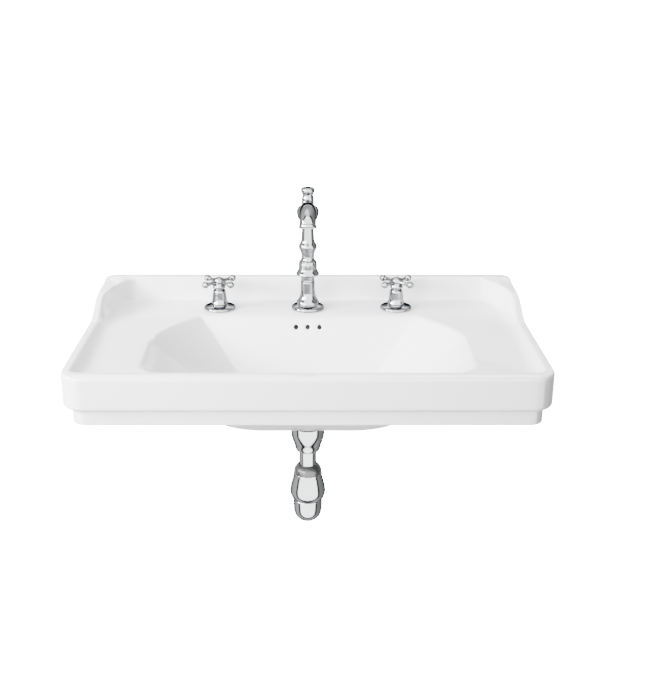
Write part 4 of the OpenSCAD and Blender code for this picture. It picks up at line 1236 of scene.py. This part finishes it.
@dataclass
class Trap(SubAssembly):
    """Tail pipe, top nut, body and cup of the bottle trap, and its outlet."""

    back: float = 240.0
    pipe_r: float = 16.0
    bore_r: float = 14.8
    foot_z: float = -229.0
    nut_z: float = -258.0
    nut_h: float = 17.0
    body_h: float = 53.0
    body_r: float = 33.2
    outlet_z: float = -300.0
    cup_r: float = 27.0
    cup_z: float = -376.0
    pipe_low: float = -358.0
    cup_step: float = -318.0
    wall_in: float = 35.0
    nut_y: float = -183.8

    ending: ClassVar[str] = "finished"

    def pipe(self) -> Shell:
        """Tail pipe from the waste body down into the cup.

        Returns:
            The pipe's surface.
        """
        low, high = self.pipe_low, self.foot_z + 13
        return Lathe([(self.bore_r, low, .2), (self.pipe_r, low, .4), (self.pipe_r, high, .3),
                      (self.bore_r, high, .2)], (0, -self.back, 0)).into(Shell())

    def nut(self) -> Shell:
        """Domed black nut round the tail pipe.

        Returns:
            The nut's surface.
        """
        z, h = self.nut_z, self.nut_h
        return Lathe([(16.1, z, .2), (17.8, z, .5), (22.1, z - h * .265), (25, z - h * .53),
                      (25.8, z - h * .765), (25.8, z - h, .6), (16.1, z - h, .2)],
                     (0, -self.back, 0)).into(Shell())

    def body(self) -> Shell:
        """Bell-shaped body with the outlet's socket at the back.

        The bell's outline holds shares of its greatest radius and of its height, from the top.

        Returns:
            The surfaces of the bell and the socket.
        """
        top, h, r, shell = self.nut_z - self.nut_h, self.body_h, self.body_r, Shell()
        shape = [(.772, 0, .5), (.802, -.02, .5), (.809, -.15, .6), (.827, -.19, .6),
                 (.877, -.32), (.963, -.53), (1, -.68), (1, -.775), (.975, -.85), (.87, -1, .8)]
        outline = [(p[0] * r, top + p[1] * h, *p[2:]) for p in shape]
        Lathe([(16.1, top, .2), *outline, (25.1, top - h, .2), (25.1, top - 12, 1),
               (16.1, top - 11, .3)], (0, -self.back, 0)).into(shell)
        end = r + 16
        return Lathe([(15.6, 20, .2), (18, 20, .3), (19, 26, .4), (19, end, .5), (15.6, end, .2)],
                     (0, -self.back, self.outlet_z), True, Axis.BACK, 56).into(shell)

    def cup(self) -> Shell:
        """Screwed cup with its rounded bottom.

        Returns:
            The cup's surface.
        """
        z, r, top = self.cup_z, self.cup_r, self.nut_z - self.nut_h - self.body_h
        return Lathe([(0, z), (.34 * r, z + .8), (.56 * r, z + 3.4), (.74 * r, z + 7.5),
                      (.87 * r, z + 12.5), (.95 * r, z + 18), (.985 * r, z + 24), (r, z + 34),
                      (r, top - 2.4, .8), (r - .8, top - 1.3, .3), (25, top - 1.3, .2),
                      (25, self.cup_step, .3), (23, self.cup_step, .3), (23, z + 27),
                      (.72 * r, z + 15.5), (.42 * r, z + 7), (0, z + 3.5)],
                     (0, -self.back, 0), False).into(Shell())

    def outlet(self) -> Shell:
        """Outlet pipe into the wall.

        Returns:
            The pipe's surface.
        """
        start = self.body_r + 1 - self.back
        r, y = self.pipe_r, self.nut_y
        return Lathe([(self.bore_r, start, .2), (r - .5, start, .4), (r - .5, y, .1), (r, y, .2),
                      (r, self.wall_in, .4), (self.bore_r, self.wall_in, .2)],
                     (0, 0, self.outlet_z), True, Axis.BACK).into(Shell())

    def outlet_nut(self) -> Shell:
        """Round nut of the outlet.

        Returns:
            The nut's surface.
        """
        face = self.body_r + 16 - self.back
        return Lathe([(19.1, face - 10, .2), (21.2, face - 10, .5), (22, face - 8, .8),
                      (22, face + 5, .8), (20.6, face + 7, .5), (15.6, face + 7, .2),
                      (15.6, face + 4.1, .2), (19.1, face + 4.1, .2)], (0, 0, self.outlet_z), True,
                     Axis.BACK).into(Shell())

    def parts(self) -> list[Part]:
        """The six fixed pieces, from the tail pipe to the outlet's nut.

        Returns:
            The trap's pieces in the order of making.
        """
        return [Part(self.pipe, "tail_pipe", "base", CHROME),
                Part(self.nut, "trap_nut", "base", BLACK_PLASTIC),
                Part(self.body, "trap_body", "base", CHROME),
                Part(self.cup, "trap_cup", "base", CHROME),
                Part(self.outlet, "outlet_pipe", "base", CHROME),
                Part(self.outlet_nut, "outlet_nut", "base", CHROME)]


# Studio


@dataclass(frozen=True)
class Lamp:
    """A rectangular soft light: places and sizes in metres, watts, and its beam in degrees."""

    name: str
    place: Place
    aim: Place
    size: tuple[float, float]
    power: float
    spread: float = 180.0


LAMPS = (Lamp("key", (-1.1, -1.5, 0.55), (-0.2, -0.44, 0), (0.9, 0.8), 9, 50),
         Lamp("side", (-2.2, -0.85, 0.9), (0.1, -0.25, 0), (0.8, 0.6), 262),
         Lamp("top", (-0.2, -0.45, 2.2), (0.1, -0.25, 0), (1.8, 1.4), 40),
         Lamp("strip", (0.0, 1.6, 1.25), (0.0, -0.44, 0), (1.8, 0.3), 18))


@dataclass
class Studio:
    """Floor, soft lights, world and camera. backdrop and panel are emission strengths."""

    eye: Place = (0.0, -2.027, 0.699)
    pitch: float = 20.2
    lens: float = 54.67
    shift: float = 0.021
    floor_z: float = -0.78
    backdrop: float = 30.0
    panel: float = 13.0

    def camera(self) -> None:
        """Camera at the photograph's angle."""
        data = bpy.data.cameras.new("camera")
        data.sensor_width, data.lens, data.shift_x = 36.0, self.lens, self.shift
        data.sensor_fit = "AUTO"
        data.clip_end = 500
        thing = bpy.data.objects.new("camera", data)
        thing.location = self.eye
        thing.rotation_euler = (math.radians(90 - self.pitch), 0, 0)
        bpy.context.scene.collection.objects.link(thing)
        bpy.context.scene.camera = thing

    def floor(self) -> None:
        """Wide pale floor that shows as the backdrop and neither lights nor mirrors in a piece."""
        mesh = bpy.data.meshes.new("floor")
        corners = [(x, y, self.floor_z) for x, y in ((-90, -40), (90, -40), (90, 140), (-90, 140))]
        mesh.from_pydata(corners, [], [(0, 1, 2, 3)])
        material = FLOOR.material()
        shader = next(n for n in material.node_tree.nodes if n.type == "BSDF_PRINCIPLED")
        shader.inputs["Emission Color"].default_value = (1, 1, 1, 1)
        shader.inputs["Emission Strength"].default_value = self.backdrop
        mesh.materials.append(material)
        thing = bpy.data.objects.new("floor", mesh)
        bpy.context.scene.collection.objects.link(thing)
        thing.visible_diffuse = thing.visible_glossy = False

    def light(self, lamp: Lamp) -> None:
        """Hangs a lamp.

        Args:
            lamp: its sizes, place and power.
        """
        data = bpy.data.lights.new(lamp.name, "AREA")
        data.shape, data.energy, data.spread = "RECTANGLE", lamp.power, math.radians(lamp.spread)
        data.size, data.size_y = lamp.size
        thing = bpy.data.objects.new(lamp.name, data)
        thing.location = lamp.place
        way = Vector(lamp.aim) - Vector(lamp.place)
        thing.rotation_euler = way.to_track_quat("-Z", "Y").to_euler()
        bpy.context.scene.collection.objects.link(thing)

    def world(self) -> None:
        """Dome with three looks.

        It lights softly, more from above and less from the sides. Mirror-like reflections see
        a dim room with a bright panel in front, and a dark gap between the two. The camera sees
        plain white. across, ahead and height are the direction's x, y and z.
        """
        world = bpy.data.worlds.new("studio")
        world.use_nodes = True
        bpy.context.scene.world = world
        graph = Graph(world.node_tree)
        place = graph.add("ShaderNodeTexCoord", out="Generated")
        parts = graph.add("ShaderNodeSeparateXYZ", {"Vector": place})
        across, ahead, height = (Socket(graph, parts.socket.node.outputs[a]) for a in "XYZ")
        # What lights the pieces
        dark = self.ramp(graph, across * across, 0.28, 0.62, 1.0, 0.17)
        right = self.ramp(graph, across, 0.3, 0.9, 1.0, 0.4)
        front = self.ramp(graph, ahead * -1.0, 0.70, 0.88, 0.0, 1.0)
        high = self.ramp(graph, height, -0.2, 0.9, 0.0, 1.0)
        low = self.ramp(graph, height, -0.3, 0.0, 1.0, 0.0)
        level = (0.6 + 0.35 * low + 0.7 * high) * dark * right + 0.3 * front
        # What mirrors in them
        panel = self.ramp(graph, ahead * -1.0, 0.34, 0.50, 0.0, 1.0)
        gap = self.ramp(graph, ahead * -1.0, 0.10, 0.26, 1.0, 0.0)
        room = (2.0 + 0.6 * high) * gap * right + 0.05
        seen = room + (self.panel - room) * panel
        # Each kind of ray gets its own look
        mirror = graph.add("ShaderNodeLightPath", out="Is Glossy Ray")
        plain = graph.add("ShaderNodeLightPath", out="Is Camera Ray")
        light = level + (seen - level) * mirror
        graph.add("ShaderNodeOutputWorld", {"Surface": graph.add("ShaderNodeBackground", {
            "Color": (1, 1, 1, 1), "Strength": light + (self.backdrop - light) * plain})})

    @staticmethod
    def ramp(graph: Graph, value: Socket, low: float, high: float, start: float,
             end: float) -> Socket:
        """Runs smoothly from start to end while the value goes from low to high.

        Args:
            graph: the tree that takes the node.
            value: what is followed.
            low: where the ramp begins.
            high: where it ends.
            start: its result up to there.
            end: its result from there on.

        Returns:
            The ramp's result.
        """
        return graph.add("ShaderNodeMapRange", {"Value": value, "From Min": low, "From Max": high,
                                                "To Min": start, "To Max": end},
                         interpolation_type="SMOOTHSTEP")

    def build(self) -> None:
        """Sets up the whole studio."""
        self.camera()
        self.floor()
        self.world()
        for lamp in LAMPS:
            self.light(lamp)


def dress(frame: dict) -> None:
    """Gives every CAD node the procedural finish of its slot.
    """
    slots = {s["node"]: s["material_slot"] for s in frame["record"]["subparts"]}
    for name, thing in frame["nodes"].items():
        thing.data.materials.clear()
        thing.data.materials.append(BY_SLOT[slots[name]].material())
        LOG.info("node %s in %s", name, slots[name])


def main() -> None:
    """Builds the scene over the CAD frame."""
    logging.basicConfig(level=logging.INFO, stream=sys.stdout, format="%(message)s")
    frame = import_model()
    Studio().build()
    dress(frame)
    groups: list[SubAssembly] = [Basin(), SideValve(side=Side.LEFT), SideValve(side=Side.RIGHT),
                                 Spout(), Waste(), Trap()]
    for group in groups:
        group.build()


if __name__ == "__main__":
    main()
